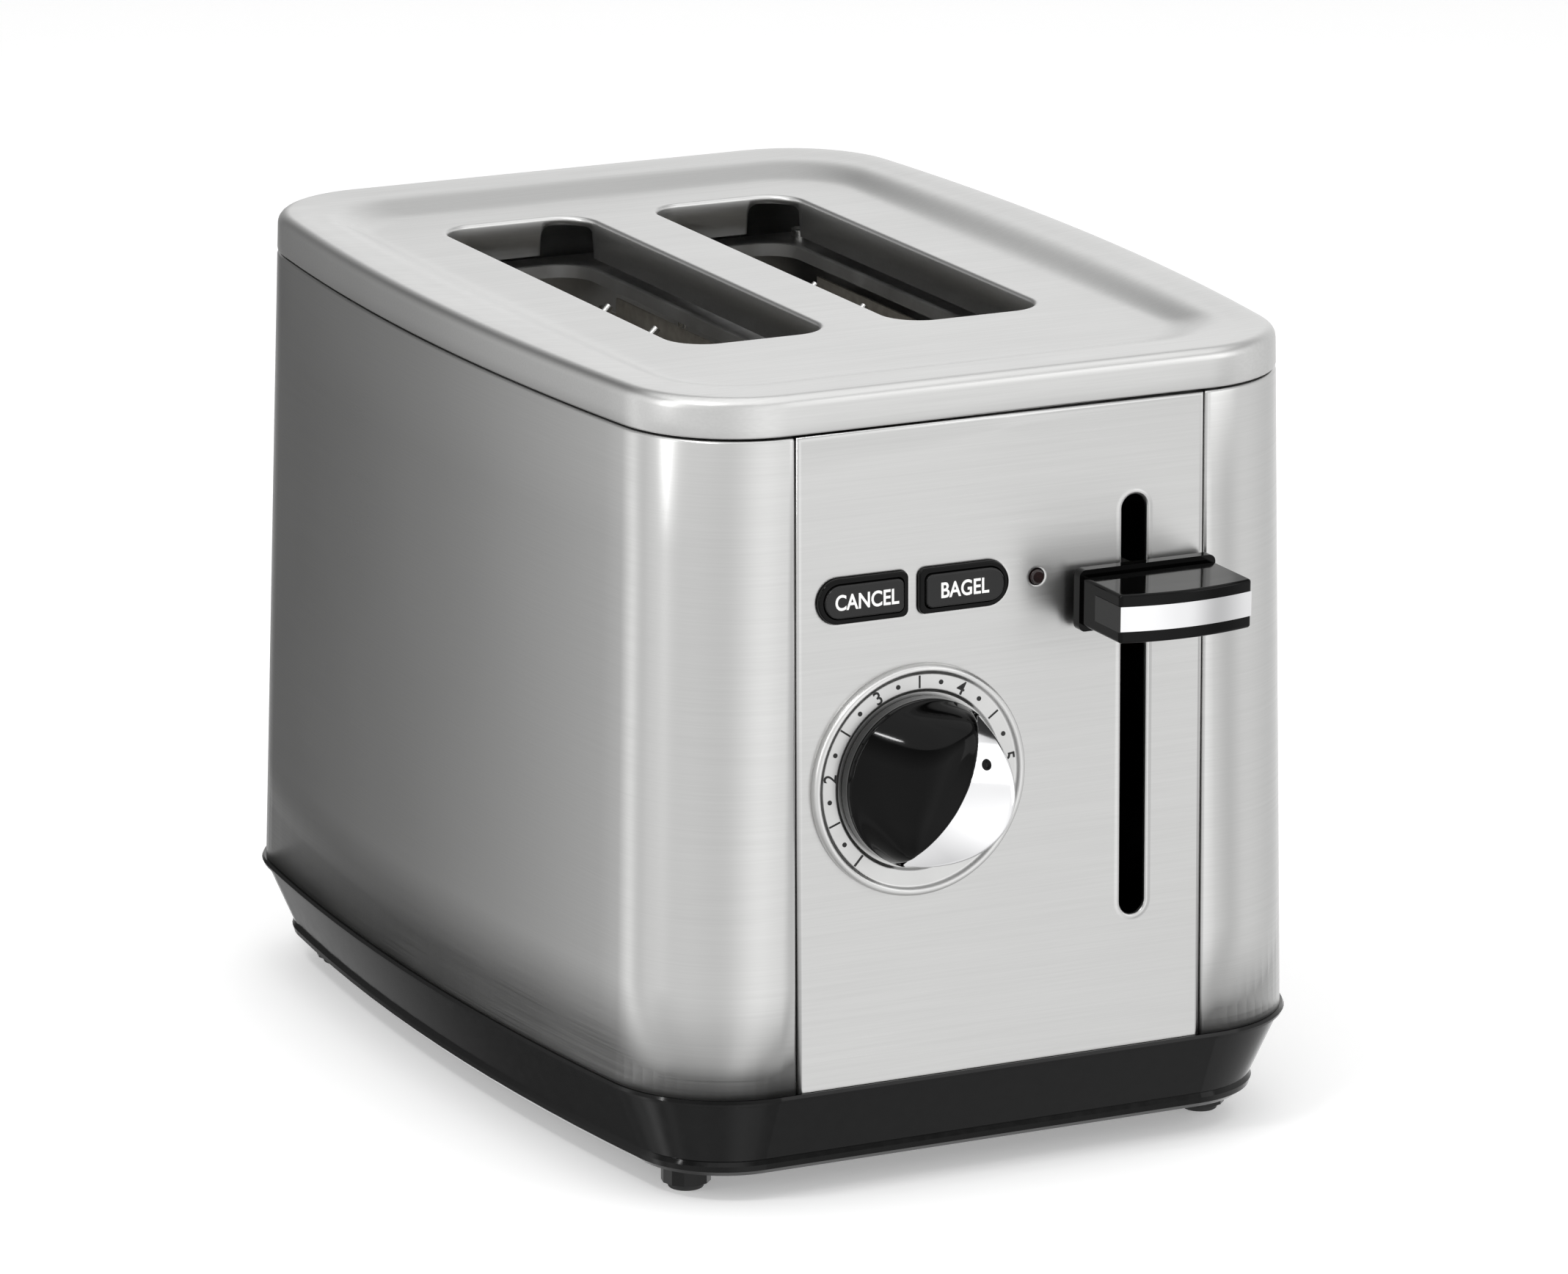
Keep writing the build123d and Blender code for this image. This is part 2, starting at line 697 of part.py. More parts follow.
def lever_arm():
    """The flat arm from the carriage out through the lever slot into the handle."""
    half = arm_thickness / 2
    x = lever_slot_x
    arm = block((x - half, lever_front_y(), lever_rest_z - arm_height / 2),
                (x + half, carriage_y - carriage_thickness, lever_rest_z + arm_height / 2))
    return arm + block((x - half, lever_front_y() - arm_tongue_length, lever_rest_z - arm_tongue_height / 2),
                       (x + half, lever_front_y() + 1, lever_rest_z + arm_tongue_height / 2))


def handle_plan(shrink=0.0):
    """The grip's plan, with a bowed front."""
    half = handle_width / 2 - shrink
    x = lever_slot_x + handle_offset_x
    back = lever_front_y() - 1
    corner = lever_front_y() - handle_flange_thickness - handle_reach + shrink
    edges = [Line((x - half, back), (x + half, back)), Line((x + half, back), (x + half, corner)),
             ThreePointArc((x + half, corner), (x, corner - handle_bow), (x - half, corner)),
             Line((x - half, corner), (x - half, back))]
    return make_face(Wire(edges))


def band_zone(clearance):
    """The layer along the front and sides of the grip that the chrome band fills."""
    low = lever_rest_z - band_height / 2 - clearance
    layer = handle_plan() - handle_plan(band_depth + clearance)
    ring = Pos(0, 0, low) * extrude(layer, band_height + 2 * clearance)
    front = lever_front_y() - handle_flange_thickness - handle_reach
    return ring & block((-far, front - 20, 0), (far, front + band_side_length + clearance, far))


def lever_handle():
    """The black grip: back flange, groove and body with a recess for the band."""
    x = lever_slot_x + handle_offset_x
    back = lever_front_y()
    body = Pos(0, 0, lever_rest_z - handle_height / 2) * extrude(handle_plan(), handle_height)
    body = fillet(body.edges().filter_by(Axis.Z).sort_by(Axis.Y)[:2], 1.0)
    body = fillet(body.faces().sort_by(Axis.Z)[-1].edges(), 0.7)
    body = fillet(body.faces().sort_by(Axis.Z)[0].edges(), 0.7)
    body -= block((-far, back - 1.5, 0), (far, back, far))
    reach = handle_width / 2 + handle_flange_margin
    rise = handle_flange_height / 2
    flange = block((x - reach, back - handle_flange_thickness, lever_rest_z - rise),
                   (x + reach, back, lever_rest_z + rise))
    flange = fillet(flange.edges().filter_by(Axis.Y), handle_flange_corner)
    body += flange
    top = lever_rest_z + handle_height / 2
    groove_y = back - handle_flange_thickness
    body -= block((x - handle_width / 2 + 1, groove_y - handle_groove_width, top - handle_groove_depth),
                  (x + handle_width / 2 - 1, groove_y, top + 5))
    body -= band_zone(band_clearance)
    half = arm_thickness / 2
    return body - block((lever_slot_x - half, back - arm_tongue_length, lever_rest_z - arm_tongue_height / 2),
                        (lever_slot_x + half, back + 1, lever_rest_z + arm_tongue_height / 2))


def lever_band():
    """The chrome strip let into the grip."""
    return band_zone(0.0)


def carriage_bush():
    """The sliding block between the carriage and its rod."""
    front = carriage_y - carriage_thickness
    body = block((rod_x - bush_width / 2, front - bush_depth, bush_low_z),
                 (rod_x + bush_width / 2, front, bush_low_z + bush_height))
    return body - upright(rod_x, rod_y, bush_low_z - 1, bush_low_z + bush_height + 1,
                          rod_radius + rod_clearance)


def guide_rod():
    return upright(rod_x, rod_y, base_floor_z(), rod_top_z, rod_radius)


def rod_bracket():
    """A bent tab on the front frame plate that holds the top of the rod."""
    left, right = rod_x - bracket_half_width, rod_x + bracket_half_width
    high = rod_top_z - bracket_drop
    low = high - bracket_thickness
    top = block((left, rod_y - bracket_reach, low), (right, front_plate_y, high))
    leg = block((left, front_plate_y - bracket_thickness, high - bracket_leg), (right, front_plate_y, high))
    return top + leg - upright(rod_x, rod_y, low - 1, rod_top_z + 1, rod_radius)


def return_spring():
    """The spring round the rod that lifts the carriage."""
    height = bush_low_z - 2 * spring_wire_radius - spring_seat_z - 0.1
    path = Helix(height / spring_turns, height, spring_radius)
    section = Plane(path @ 0, z_dir=path % 0) * Circle(spring_wire_radius)
    return Pos(rod_x, rod_y, spring_seat_z + spring_wire_radius + 0.05) * sweep(section, path)


def magnet_top_z():
    return carriage_low_z - lever_travel_down - latch_gap


def magnet_y():
    """The middle of the magnet and of the latch plate above it."""
    return carriage_y - carriage_thickness - latch_depth / 2


def latch_plate():
    """The steel plate on the carriage that the magnet holds."""
    front = carriage_y - carriage_thickness
    plate = block((latch_x - latch_width / 2, front - latch_depth, carriage_low_z),
                  (latch_x + latch_width / 2, front, carriage_low_z + latch_thickness))
    return plate + block((latch_x - latch_width / 2, front - latch_lug_thickness, carriage_low_z),
                         (latch_x + latch_width / 2, front, carriage_low_z + latch_lug_height))


def electromagnet_core():
    """A U of steel with two poles, standing on the base."""
    half = magnet_width / 2
    low_y = magnet_y() - magnet_depth / 2
    core = block((latch_x - half, low_y, base_floor_z()),
                 (latch_x + half, low_y + magnet_depth, magnet_top_z()))
    return core - block((latch_x - half + magnet_pole_width, low_y - 1, base_floor_z() + magnet_yoke_height),
                        (latch_x + half - magnet_pole_width, low_y + magnet_depth + 1, far))


def electromagnet_coil():
    """The winding round one pole."""
    half = magnet_width / 2
    low_y = magnet_y() - magnet_depth / 2
    left = latch_x - half
    low = base_floor_z() + magnet_yoke_height + coil_lift
    high = magnet_top_z() - coil_drop
    gap = coil_clearance
    outside = block((left - coil_wall, low_y - coil_wall, low),
                    (left + magnet_pole_width + coil_wall, low_y + magnet_depth + coil_wall, high))
    pole = block((left - gap, low_y - gap, low - 1),
                 (left + magnet_pole_width + gap, low_y + magnet_depth + gap, high + 1))
    return fillet(outside.edges().filter_by(Axis.Z), coil_corner) - pole


# ---- Controls
def dial_bezel():
    """The dished ring round the knob, with a raised rim and a thin floor."""
    r, h = bezel_radius, bezel_height
    inner = bezel_inner_radius
    profile = Polyline((shaft_radius + 1, 0), (r, 0), (r, h * 0.55), (r - 0.5, h * 0.9), (r - 1.2, h),
                       (r - 1.9, h * 0.9), (r - 2.5, h * 0.62), (inner + 0.4, h * 0.42), (inner, h * 0.36),
                       (inner, bezel_floor), (shaft_radius + 1, bezel_floor), close=True)
    ring = revolve(Plane.XZ * make_face(profile), Axis.Z)
    return panel_at(dial_x, dial_z) * ring


def knob_place():
    return panel_at(dial_x, dial_z) * Rot(0, 0, knob_turn)


def knob_low():
    return bezel_floor + knob_lift


def knob_disc():
    return Pos(0, 0, knob_low() + 15) * Cylinder(knob_radius, 30)


def across_knob(face):
    """Sweeps a profile drawn across the ridge right over the knob, and trims it to the round."""
    return extrude(Plane.XZ * face, 30, both=True) & knob_disc()


def dial_knob_cap():
    """The black part: a slope that rises to a ridge for the fingers."""
    r, low = knob_radius, knob_low()
    top = knob_ridge_height
    edges = [Line((-r, low), (-r, knob_edge_height)),
             ThreePointArc((-r, knob_edge_height), (-r / 2, 0.68 * top), (0.5, top)),
             ThreePointArc((0.5, top), (2.4, top - 0.9), (3.0, top - 2.6)),
             Line((3.0, top - 2.6), (band_edge, knob_rim_height - 3.5)),
             Line((band_edge, knob_rim_height - 3.5), (band_edge, low)), Line((band_edge, low), (-r, low))]
    cap = across_knob(make_face(Wire(edges)))
    bore = Pos(0, 0, low + 4) * Cylinder(shaft_radius, 10)
    return knob_place() * (cap - bore)


def dial_knob_band():
    """The chrome part: a bright face that rises from the ridge to the knob's rim."""
    r, low = knob_radius, knob_low()
    rim = knob_rim_height
    edges = [Line((band_edge, low), (r, low)), Line((r, low), (r, rim - 0.8)),
             ThreePointArc((r, rim - 0.8), (r - 0.3, rim - 0.2), (r - 1.0, rim)),
             ThreePointArc((r - 1.0, rim), ((r + band_edge) / 2, rim - 2.2), (band_edge, rim - 3.5)),
             Line((band_edge, rim - 3.5), (band_edge, low))]
    return knob_place() * across_knob(make_face(Wire(edges)))


def dial_shaft():
    """The control's shaft, from inside its case to inside the knob."""
    low = -board_depth + shaft_end
    high = knob_low() + shaft_in_knob
    return panel_at(dial_x, dial_z, (low + high) / 2) * Cylinder(shaft_radius, high - low)


def browning_control():
    """The turning control on the board, with the bore for its shaft."""
    height = board_depth - sheet - control_front_gap
    case = Pos(0, 0, -board_depth + height / 2) * Box(control_size, control_size, height)
    case = fillet(case.edges().filter_by(Axis.Z), 2)
    neck_low = -board_depth + height - 0.2
    neck = Pos(0, 0, neck_low + control_neck_length / 2) * Cylinder(shaft_radius + control_neck_wall,
                                                                    control_neck_length)
    bore = Pos(0, 0, -board_depth + control_floor + far / 2) * Cylinder(shaft_radius + shaft_clearance, far)
    return panel_at(dial_x, dial_z) * (case + neck - bore)


def button_bezels():
    """The two black frames set into the panel."""
    frames = []
    for x, side in ((cancel_x, -1), (bagel_x, 1)):
        rim = extrude(bar_face(bezel_width, bezel_bar_height, side, button_corner), button_bezel_proud)
        rim = fillet(rim.faces().sort_by(Axis.Z)[-1].edges(), 0.5)
        rim += Pos(0, 0, -button_bezel_depth) * extrude(
            bar_face(bezel_width - 1, bezel_bar_height - 1, side, button_corner), button_bezel_depth + 0.1)
        walls = 2 * button_wall
        hole = bar_face(bezel_width - walls, bezel_bar_height - walls, side, button_corner)
        frames.append(panel_at(x, button_z) * (rim - Pos(0, 0, -10) * extrude(hole, 20)))
    return Compound(children=frames)


def push_button(x, side):
    """A button with a stem that reaches its switch."""
    margin = 2 * (button_wall + button_clearance)
    face = bar_face(bezel_width - margin, bezel_bar_height - margin, side, button_corner)
    head = Pos(0, 0, -button_head_depth) * extrude(face, button_head_depth + button_proud)
    head = fillet(head.faces().sort_by(Axis.Z)[-1].edges(), 0.5)
    stem_low = -board_depth + switch_height - stem_overlap
    stem_high = 0.5 - button_head_depth
    stem = Pos(0, 0, (stem_low + stem_high) / 2) * Cylinder(button_stem_radius, stem_high - stem_low)
    return panel_at(x, button_z) * (head + stem)


def button_switches():
    """Two small push switches on the board; each button's stem enters its bore."""
    switches = []
    for x in (cancel_x, bagel_x):
        case = Pos(0, 0, -board_depth + switch_height / 2) * Box(switch_size, switch_size, switch_height)
        bore = Pos(0, 0, -board_depth + switch_height) * Cylinder(button_stem_radius + stem_clearance,
                                                                  2 * switch_bore_depth)
        switches.append(panel_at(x, button_z) * (case - bore))
    return Compound(children=switches)


def indicator_lens():
    """The lens and light guide of the indicator."""
    length = board_depth + lens_proud
    lens = Pos(0, 0, -board_depth + length / 2) * Cylinder(lens_radius, length)
    lens = fillet(lens.edges().sort_by(Axis.Z)[-1], 0.5)
    return panel_at(lens_x, button_z) * lens


def board_holes():
    """The four fixing points of the board."""
    inset = board_hole_inset
    return [(x, z) for x in (board_left + inset, board_right - inset)
            for z in (board_low_z + inset, board_high_z - inset)]


def control_board():
    middle_x = (board_left + board_right) / 2
    middle_z = (board_low_z + board_high_z) / 2
    board = panel_at(middle_x, middle_z, -board_depth - board_thickness / 2) * Box(
        board_right - board_left, board_high_z - board_low_z, board_thickness)
    for x, z in board_holes():
        board -= panel_at(x, z, -board_depth) * Cylinder(screw_radius + 0.15, 10)
    return board


def board_components():
    """A relay, two capacitors and a resistor on the back of the board."""
    back = -board_depth - board_thickness
    parts = [panel_at(board_right - relay_from_right, board_low_z + relay_from_low,
                      back - relay_size[2] / 2) * Box(*relay_size)]
    for x, z in capacitor_places:
        can = Cylinder(capacitor_radius, capacitor_length)
        parts.append(panel_at(x, z, back - capacitor_length / 2) * can)
    x, z = resistor_place
    parts.append(panel_at(x, z, back - resistor_radius) * Rot(0, 90, 0) * Cylinder(resistor_radius,
                                                                                  resistor_length))
    return Compound(children=parts)


def board_spacers():
    """Four spacers between the panel and the board."""
    length = board_depth - sheet
    spacers = []
    for x, z in board_holes():
        spacer = Cylinder(spacer_radius, length) - Cylinder(screw_radius, length + 1)
        spacers.append(panel_at(x, z, -sheet - length / 2) * spacer)
    return Compound(children=spacers)


def board_screws():
    """Four screws through the board into its spacers."""
    screws = []
    for x, z in board_holes():
        back = -board_depth - board_thickness
        head = Pos(0, 0, back - board_screw_head_height / 2) * Cylinder(board_screw_head,
                                                                        board_screw_head_height)
        shank = Pos(0, 0, back - 0.1 + board_screw_length / 2) * Cylinder(screw_radius - 0.05,
                                                                          board_screw_length)
        screws.append(panel_at(x, z) * (head + shank))
    return Compound(children=screws)


# ---- Crumb tray, inlet and fasteners
def crumb_tray():
    """A shallow steel tray with upturned edges."""
    near = front_plate_y + tray_front_margin
    rear = body_length / 2 - skirt_inset - tray_pull_depth
    half = tray_half_width - tray_clearance
    top = tray_low_z + tray_height - 0.4
    tray = block((-half, near, tray_low_z), (half, rear, top))
    return tray - block((-half + inner_sheet, near + inner_sheet, tray_low_z + inner_sheet),
                        (half - inner_sheet, rear - inner_sheet, far))


def crumb_tray_pull():
    """The black end of the tray, flush with the skirt, with a grip."""
    rear = body_length / 2 - skirt_inset - tray_pull_depth
    pull = base_solid() & block((-tray_half_width, rear, tray_low_z),
                                (tray_half_width, far, tray_low_z + tray_height))
    middle_z = tray_low_z + tray_height / 2
    wall_y = body_length / 2 - skirt_inset
    grip = block((-pull_grip_width / 2, wall_y - 2, middle_z - pull_grip_half_height),
                 (pull_grip_width / 2, wall_y + pull_grip_reach + 2, middle_z + pull_grip_half_height))
    return pull + fillet(grip.edges().filter_by(Axis.Z).sort_by(Axis.Y)[-2:], 3)


def terminal_block():
    """Where the mains leads are joined, on the base's floor."""
    floor_z = base_floor_z()
    near = -body_length / 2 + terminal_front_gap
    body = block((terminal_x - terminal_width / 2, near, floor_z),
                 (terminal_x + terminal_width / 2, near + terminal_depth, floor_z + terminal_height))
    for x in (terminal_x - terminal_pitch / 2, terminal_x + terminal_pitch / 2):
        body -= upright(x, near + terminal_depth / 2, floor_z + terminal_height / 2, far, terminal_bore)
    return body


def grommet_face_y():
    """The rear panel's outer face at the grommet."""
    return body_length / 2 - (grommet_z - steel_foot_z) * lean


def cord_grommet():
    """The bushing in the rear panel that a mains lead passes through."""
    outer_y = grommet_face_y()
    seat_y = outer_y + grommet_proud
    inner_y = outer_y - sheet - grommet_neck
    body = along_y(grommet_x, grommet_z, inner_y, seat_y, grommet_radius - 0.05)
    body += along_y(grommet_x, grommet_z, seat_y, seat_y + grommet_flange,
                    grommet_radius + grommet_flange_grow)
    body += along_y(grommet_x, grommet_z, inner_y, outer_y - sheet - 1, grommet_radius + grommet_barb_grow)
    return body - along_y(grommet_x, grommet_z, outer_y - 20, outer_y + 20, grommet_bore)


def base_screws():
    """Four screws from below, through the base into the feet of the frame plates."""
    screws = []
    for x, y in frame_feet():
        head = upright(x, y, base_foot_z + 0.4, base_foot_z + base_wall,
                       boss_radius - screw_head_recess - 0.2)
        shank = upright(x, y, base_foot_z + base_wall, frame_foot_z + inner_sheet, screw_radius - 0.05)
        screws.append(head + shank)
    return Compound(children=screws)


def frame_screws():
    """Four screws that hold the inner top plate to the frame plates."""
    top = inner_plate_z + inner_sheet
    screws = []
    for x, y in frame_feet():
        head = upright(x, y, top, top + frame_screw_head_height, frame_screw_head)
        shank = upright(x, y, inner_plate_z - frame_screw_length, top + 0.1, screw_radius - 0.05)
        screws.append(head + shank)
    return Compound(children=screws)


# ---- All the pieces
def pieces():
    """Every node by name."""
    nodes = {
        "top_cover": top_cover(), "left_shell": side_shell(-1), "right_shell": side_shell(1),
        "front_panel": front_panel(), "rear_panel": rear_panel(), "base": base(), "feet": feet(),
        "foot_pads": foot_pads(), "front_frame_plate": frame_plate(front_plate_y, -1),
        "rear_frame_plate": frame_plate(rear_plate_y, 1), "left_reflector": reflector(-1),
        "right_reflector": reflector(1), "inner_top_plate": inner_top_plate(),
        "guide_rod": guide_rod(), "rod_bracket": rod_bracket(), "return_spring": return_spring(),
        "electromagnet_core": electromagnet_core(), "electromagnet_coil": electromagnet_coil(),
        "control_board": control_board(), "board_components": board_components(),
        "board_spacers": board_spacers(), "board_screws": board_screws(),
        "button_switches": button_switches(), "browning_control": browning_control(),
        "dial_bezel": dial_bezel(), "button_bezels": button_bezels(), "indicator_lens": indicator_lens(),
        "cord_grommet": cord_grommet(), "terminal_block": terminal_block(),
        "base_screws": base_screws(), "frame_screws": frame_screws(),
        "carriage": carriage(), "carriage_bush": carriage_bush(), "lever_arm": lever_arm(),
        "lever_handle": lever_handle(), "lever_band": lever_band(), "latch_plate": latch_plate(),
        "bread_lifter_left": bread_lifter(-1), "bread_lifter_right": bread_lifter(1),
        "dial_knob_cap": dial_knob_cap(), "dial_knob_band": dial_knob_band(), "dial_shaft": dial_shaft(),
        "cancel_button": push_button(cancel_x, -1), "bagel_button": push_button(bagel_x, 1),
        "crumb_tray": crumb_tray(), "crumb_tray_pull": crumb_tray_pull(),
    }
    for name, x in card_places().items():
        nodes["mica_card_" + name] = mica_card(x)
        nodes["heater_winding_" + name] = heater_winding(x)
    for name, slot_side, guide_side in guide_places():
        nodes[name] = bread_guide(slot_side, guide_side)
    return nodes


def model_shift():
    """From the middle of the body to the middle of the whole box, along Y."""
    front = lever_front_y() - handle_flange_thickness - handle_reach - handle_bow
    rear = grommet_face_y() + grommet_proud + grommet_flange
    return Pos(0, -(front + rear) / 2, 0)


os.makedirs("parts", exist_ok=True)
for node, shape in pieces().items():
    export_step(model_shift() * shape, "parts/" + node + ".step")
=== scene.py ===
import json
import math

import bmesh
import bpy
import numpy as np
from mathutils import Matrix, Vector
from mathutils.geometry import delaunay_2d_cdt


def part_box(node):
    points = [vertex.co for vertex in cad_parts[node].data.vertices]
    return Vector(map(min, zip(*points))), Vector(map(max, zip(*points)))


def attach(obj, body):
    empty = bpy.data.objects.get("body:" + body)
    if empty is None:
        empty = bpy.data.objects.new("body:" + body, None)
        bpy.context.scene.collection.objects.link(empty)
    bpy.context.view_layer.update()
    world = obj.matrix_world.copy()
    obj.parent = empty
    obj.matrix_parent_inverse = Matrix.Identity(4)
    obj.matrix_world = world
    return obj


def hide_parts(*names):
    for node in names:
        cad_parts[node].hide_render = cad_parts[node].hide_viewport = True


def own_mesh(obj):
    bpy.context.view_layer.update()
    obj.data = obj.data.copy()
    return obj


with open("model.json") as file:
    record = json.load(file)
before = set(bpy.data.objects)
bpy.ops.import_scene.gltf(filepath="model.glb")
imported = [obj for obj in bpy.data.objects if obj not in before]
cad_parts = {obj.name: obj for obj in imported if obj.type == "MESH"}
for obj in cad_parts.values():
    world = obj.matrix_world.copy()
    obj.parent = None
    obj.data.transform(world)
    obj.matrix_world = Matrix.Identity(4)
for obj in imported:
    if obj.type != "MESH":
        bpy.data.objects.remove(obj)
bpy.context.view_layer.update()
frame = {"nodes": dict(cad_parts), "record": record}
MM = 0.001

# ---- Camera
# A long studio lens at the front left of the toaster, looking a little down on its lid. Its place is in
# metres and its turns are in degrees: yaw from straight ahead, pitch down, and a slight roll.
camera_place = Vector((-0.94046, -1.85366, 0.66390))
camera_yaw, camera_pitch, camera_roll = (math.radians(a) for a in (26.93, 15.18, 0.41))
ahead = Vector((math.sin(camera_yaw) * math.cos(camera_pitch), math.cos(camera_yaw) * math.cos(camera_pitch),
                -math.sin(camera_pitch)))
level_right = Vector((math.cos(camera_yaw), -math.sin(camera_yaw), 0))
level_up = level_right.cross(ahead)
camera_right = math.cos(camera_roll) * level_right + math.sin(camera_roll) * level_up
camera_up = -math.sin(camera_roll) * level_right + math.cos(camera_roll) * level_up
lens = bpy.data.cameras.new("camera")
lens.lens = 212.0
lens.sensor_width = 36.0
lens.shift_x = -0.00158
lens.shift_y = -0.00117
camera = bpy.data.objects.new("camera", lens)
turn = Matrix((camera_right, camera_up, -ahead)).transposed()
camera.matrix_world = Matrix.Translation(camera_place) @ turn.to_4x4()
bpy.context.scene.collection.objects.link(camera)
bpy.context.scene.camera = camera
bpy.context.scene.view_settings.view_transform = "Standard"

# ---- Studio
# A plain white paper floor, walls all round whose brightness changes with the direction, and lights.
# The floor is kept out of mirror reflections, so that the steel shows the walls.


def linear(colour):
    """An sRGB hex colour as linear RGBA."""
    parts = [int(colour[i:i + 2], 16) / 255 for i in (1, 3, 5)]
    return [c / 12.92 if c <= 0.04045 else ((c + 0.055) / 1.055) ** 2.4 for c in parts] + [1.0]


def add(tree, kind, inputs=(), **settings):
    """Adds a node: its settings first, then each input, which is a socket to link or a value to set."""
    made = tree.nodes.new(kind)
    for key, value in settings.items():
        setattr(made, key, value)
    for key, value in dict(inputs).items():
        if isinstance(value, bpy.types.NodeSocket):
            tree.links.new(value, made.inputs[key])
        else:
            made.inputs[key].default_value = value
    return made


def new_material(name):
    """An empty material and its principled shader, wired to the output."""
    made = bpy.data.materials.new(name)
    made.use_nodes = True
    tree = made.node_tree
    tree.nodes.clear()
    shader = add(tree, "ShaderNodeBsdfPrincipled")
    add(tree, "ShaderNodeOutputMaterial", {"Surface": shader.outputs[0]})
    return made, tree, shader


def noise_on(tree, scale_mm, detail=2.0):
    """Noise on object coordinates, with its own grain size in millimetres along X, Y and Z."""
    place = add(tree, "ShaderNodeTexCoord").outputs["Object"]
    scaled = add(tree, "ShaderNodeMapping", {"Vector": place, "Scale": [1 / (s * MM) for s in scale_mm]})
    return add(tree, "ShaderNodeTexNoise", {"Vector": scaled.outputs[0], "Scale": 1.0, "Detail": detail})


def spread(tree, value, low, high, start=0.3, end=0.7):
    """Maps a noise value to a range."""
    return add(tree, "ShaderNodeMapRange", {"Value": value, "From Min": start, "From Max": end, "To Min": low,
                                            "To Max": high}).outputs[0]


# Seamless paper: matt white, lifted a little so that only the contact shadow is left.
floor_paper, tree, shader = new_material("white_studio_paper")
shader.inputs["Base Color"].default_value = linear("#f4f4f4")
shader.inputs["Roughness"].default_value = 0.95
shader.inputs["Emission Color"].default_value = linear("#ffffff")
floor_glow, floor_shine, floor_reach = 0.3, 0.1, 9.0
shader.inputs["Emission Strength"].default_value = floor_glow
shader.inputs["Specular IOR Level"].default_value = floor_shine
floor_mesh = bpy.data.meshes.new("floor")
floor_mesh.from_pydata([(x, y, 0) for x, y in ((-1, -1), (1, -1), (1, 1), (-1, 1))], [], [(0, 1, 2, 3)])
floor_mesh.transform(Matrix.Diagonal((floor_reach, floor_reach, 1, 1)))
floor_mesh.materials.append(floor_paper)
floor = bpy.data.objects.new("floor", floor_mesh)
bpy.context.scene.collection.objects.link(floor)
floor.visible_glossy = False

world = bpy.data.worlds.new("studio")
world.use_nodes = True
tree = world.node_tree
tree.nodes.clear()
direction = add(tree, "ShaderNodeTexCoord").outputs["Generated"]
apart = add(tree, "ShaderNodeSeparateXYZ", {"Vector": direction})
azimuth = add(tree, "ShaderNodeMath", {0: apart.outputs["Y"], 1: apart.outputs["X"]}, operation="ARCTAN2")
share = add(tree, "ShaderNodeMapRange", {"Value": azimuth.outputs[0], "From Min": -math.pi,
                                         "From Max": math.pi})
walls = add(tree, "ShaderNodeValToRGB", {"Fac": share.outputs[0]})
brightest = 2.0
wall_light = [  # direction in degrees, brightness
    (-180, 0.8), (-150, 0.95), (-120, 0.9), (-84, 1.35), (-63, 1.15), (-46, 0.65), (-28, 1.0), (20, 0.8),
    (63, 1.15), (80, 0.45), (99, 0.1), (116, 0.24), (135, 0.66), (147, 1.5), (158, 0.65), (170, 1.0),
    (180, 0.8),
]
while len(walls.color_ramp.elements) < len(wall_light):
    walls.color_ramp.elements.new(0.5)
for stop, (angle, strength) in zip(walls.color_ramp.elements, wall_light):
    stop.position = (angle + 180) / 360
    stop.color = [strength / brightest] * 3 + [1]
walls.color_ramp.interpolation = "EASE"
walls_end, ceiling_start, ceiling_share = 0.45, 0.75, 0.25
overhead = add(tree, "ShaderNodeMapRange", {
    "Value": apart.outputs["Z"], "From Min": walls_end, "From Max": ceiling_start,
    "To Min": brightest, "To Max": ceiling_share * brightest})
ground_end, walls_start, ground_share = -0.8, -0.45, 0.7
below = add(tree, "ShaderNodeMapRange", {
    "Value": apart.outputs["Z"], "From Min": ground_end, "From Max": walls_start,
    "To Min": ground_share, "To Max": 1.0})
level = add(tree, "ShaderNodeMath", {0: overhead.outputs[0], 1: below.outputs[0]}, operation="MULTIPLY")
back = add(tree, "ShaderNodeBackground", {"Color": walls.outputs["Color"], "Strength": level.outputs[0]})
add(tree, "ShaderNodeOutputWorld", {"Surface": back.outputs[0]})
bpy.context.scene.world = world

soft_boxes = {  # place, width, height, watts, shape
    "soft_box_top": ((0.0, -0.1, 1.6), 2.6, 2.6, 19.0, "ELLIPSE"),
    "soft_box_front_right": ((1.3, -1.5, 0.9), 0.9, 1.2, 4.0, "RECTANGLE"),
    "strip_left": ((-1.5, -0.2, 0.7), 0.03, 1.2, 3.5, "RECTANGLE"),
    "strip_high": ((-0.75, -0.45, 1.15), 0.32, 0.04, 2.5, "ELLIPSE"),
}
lights_aim = Vector((0, 0.01, 0.09))
for name, (place, width, height, watts, shape) in soft_boxes.items():
    light = bpy.data.lights.new(name, "AREA")
    light.shape = shape
    light.size = width
    light.size_y = height
    light.energy = watts
    box = bpy.data.objects.new(name, light)
    aim = lights_aim - Vector(place)
    box.matrix_world = Matrix.Translation(place) @ aim.to_track_quat("-Z", "Y").to_matrix().to_4x4()
    bpy.context.scene.collection.objects.link(box)

# ---- Finishes of the pressed and moulded parts
# Sheet steel, wire, plastics and the rest, used by the sections below and by the inner parts. A CAD
# node that is shown as it is gets the finish of its material slot.
bump_depth = 0.02 * MM
cloud_mm, cloud_gloss = 60, 0.03


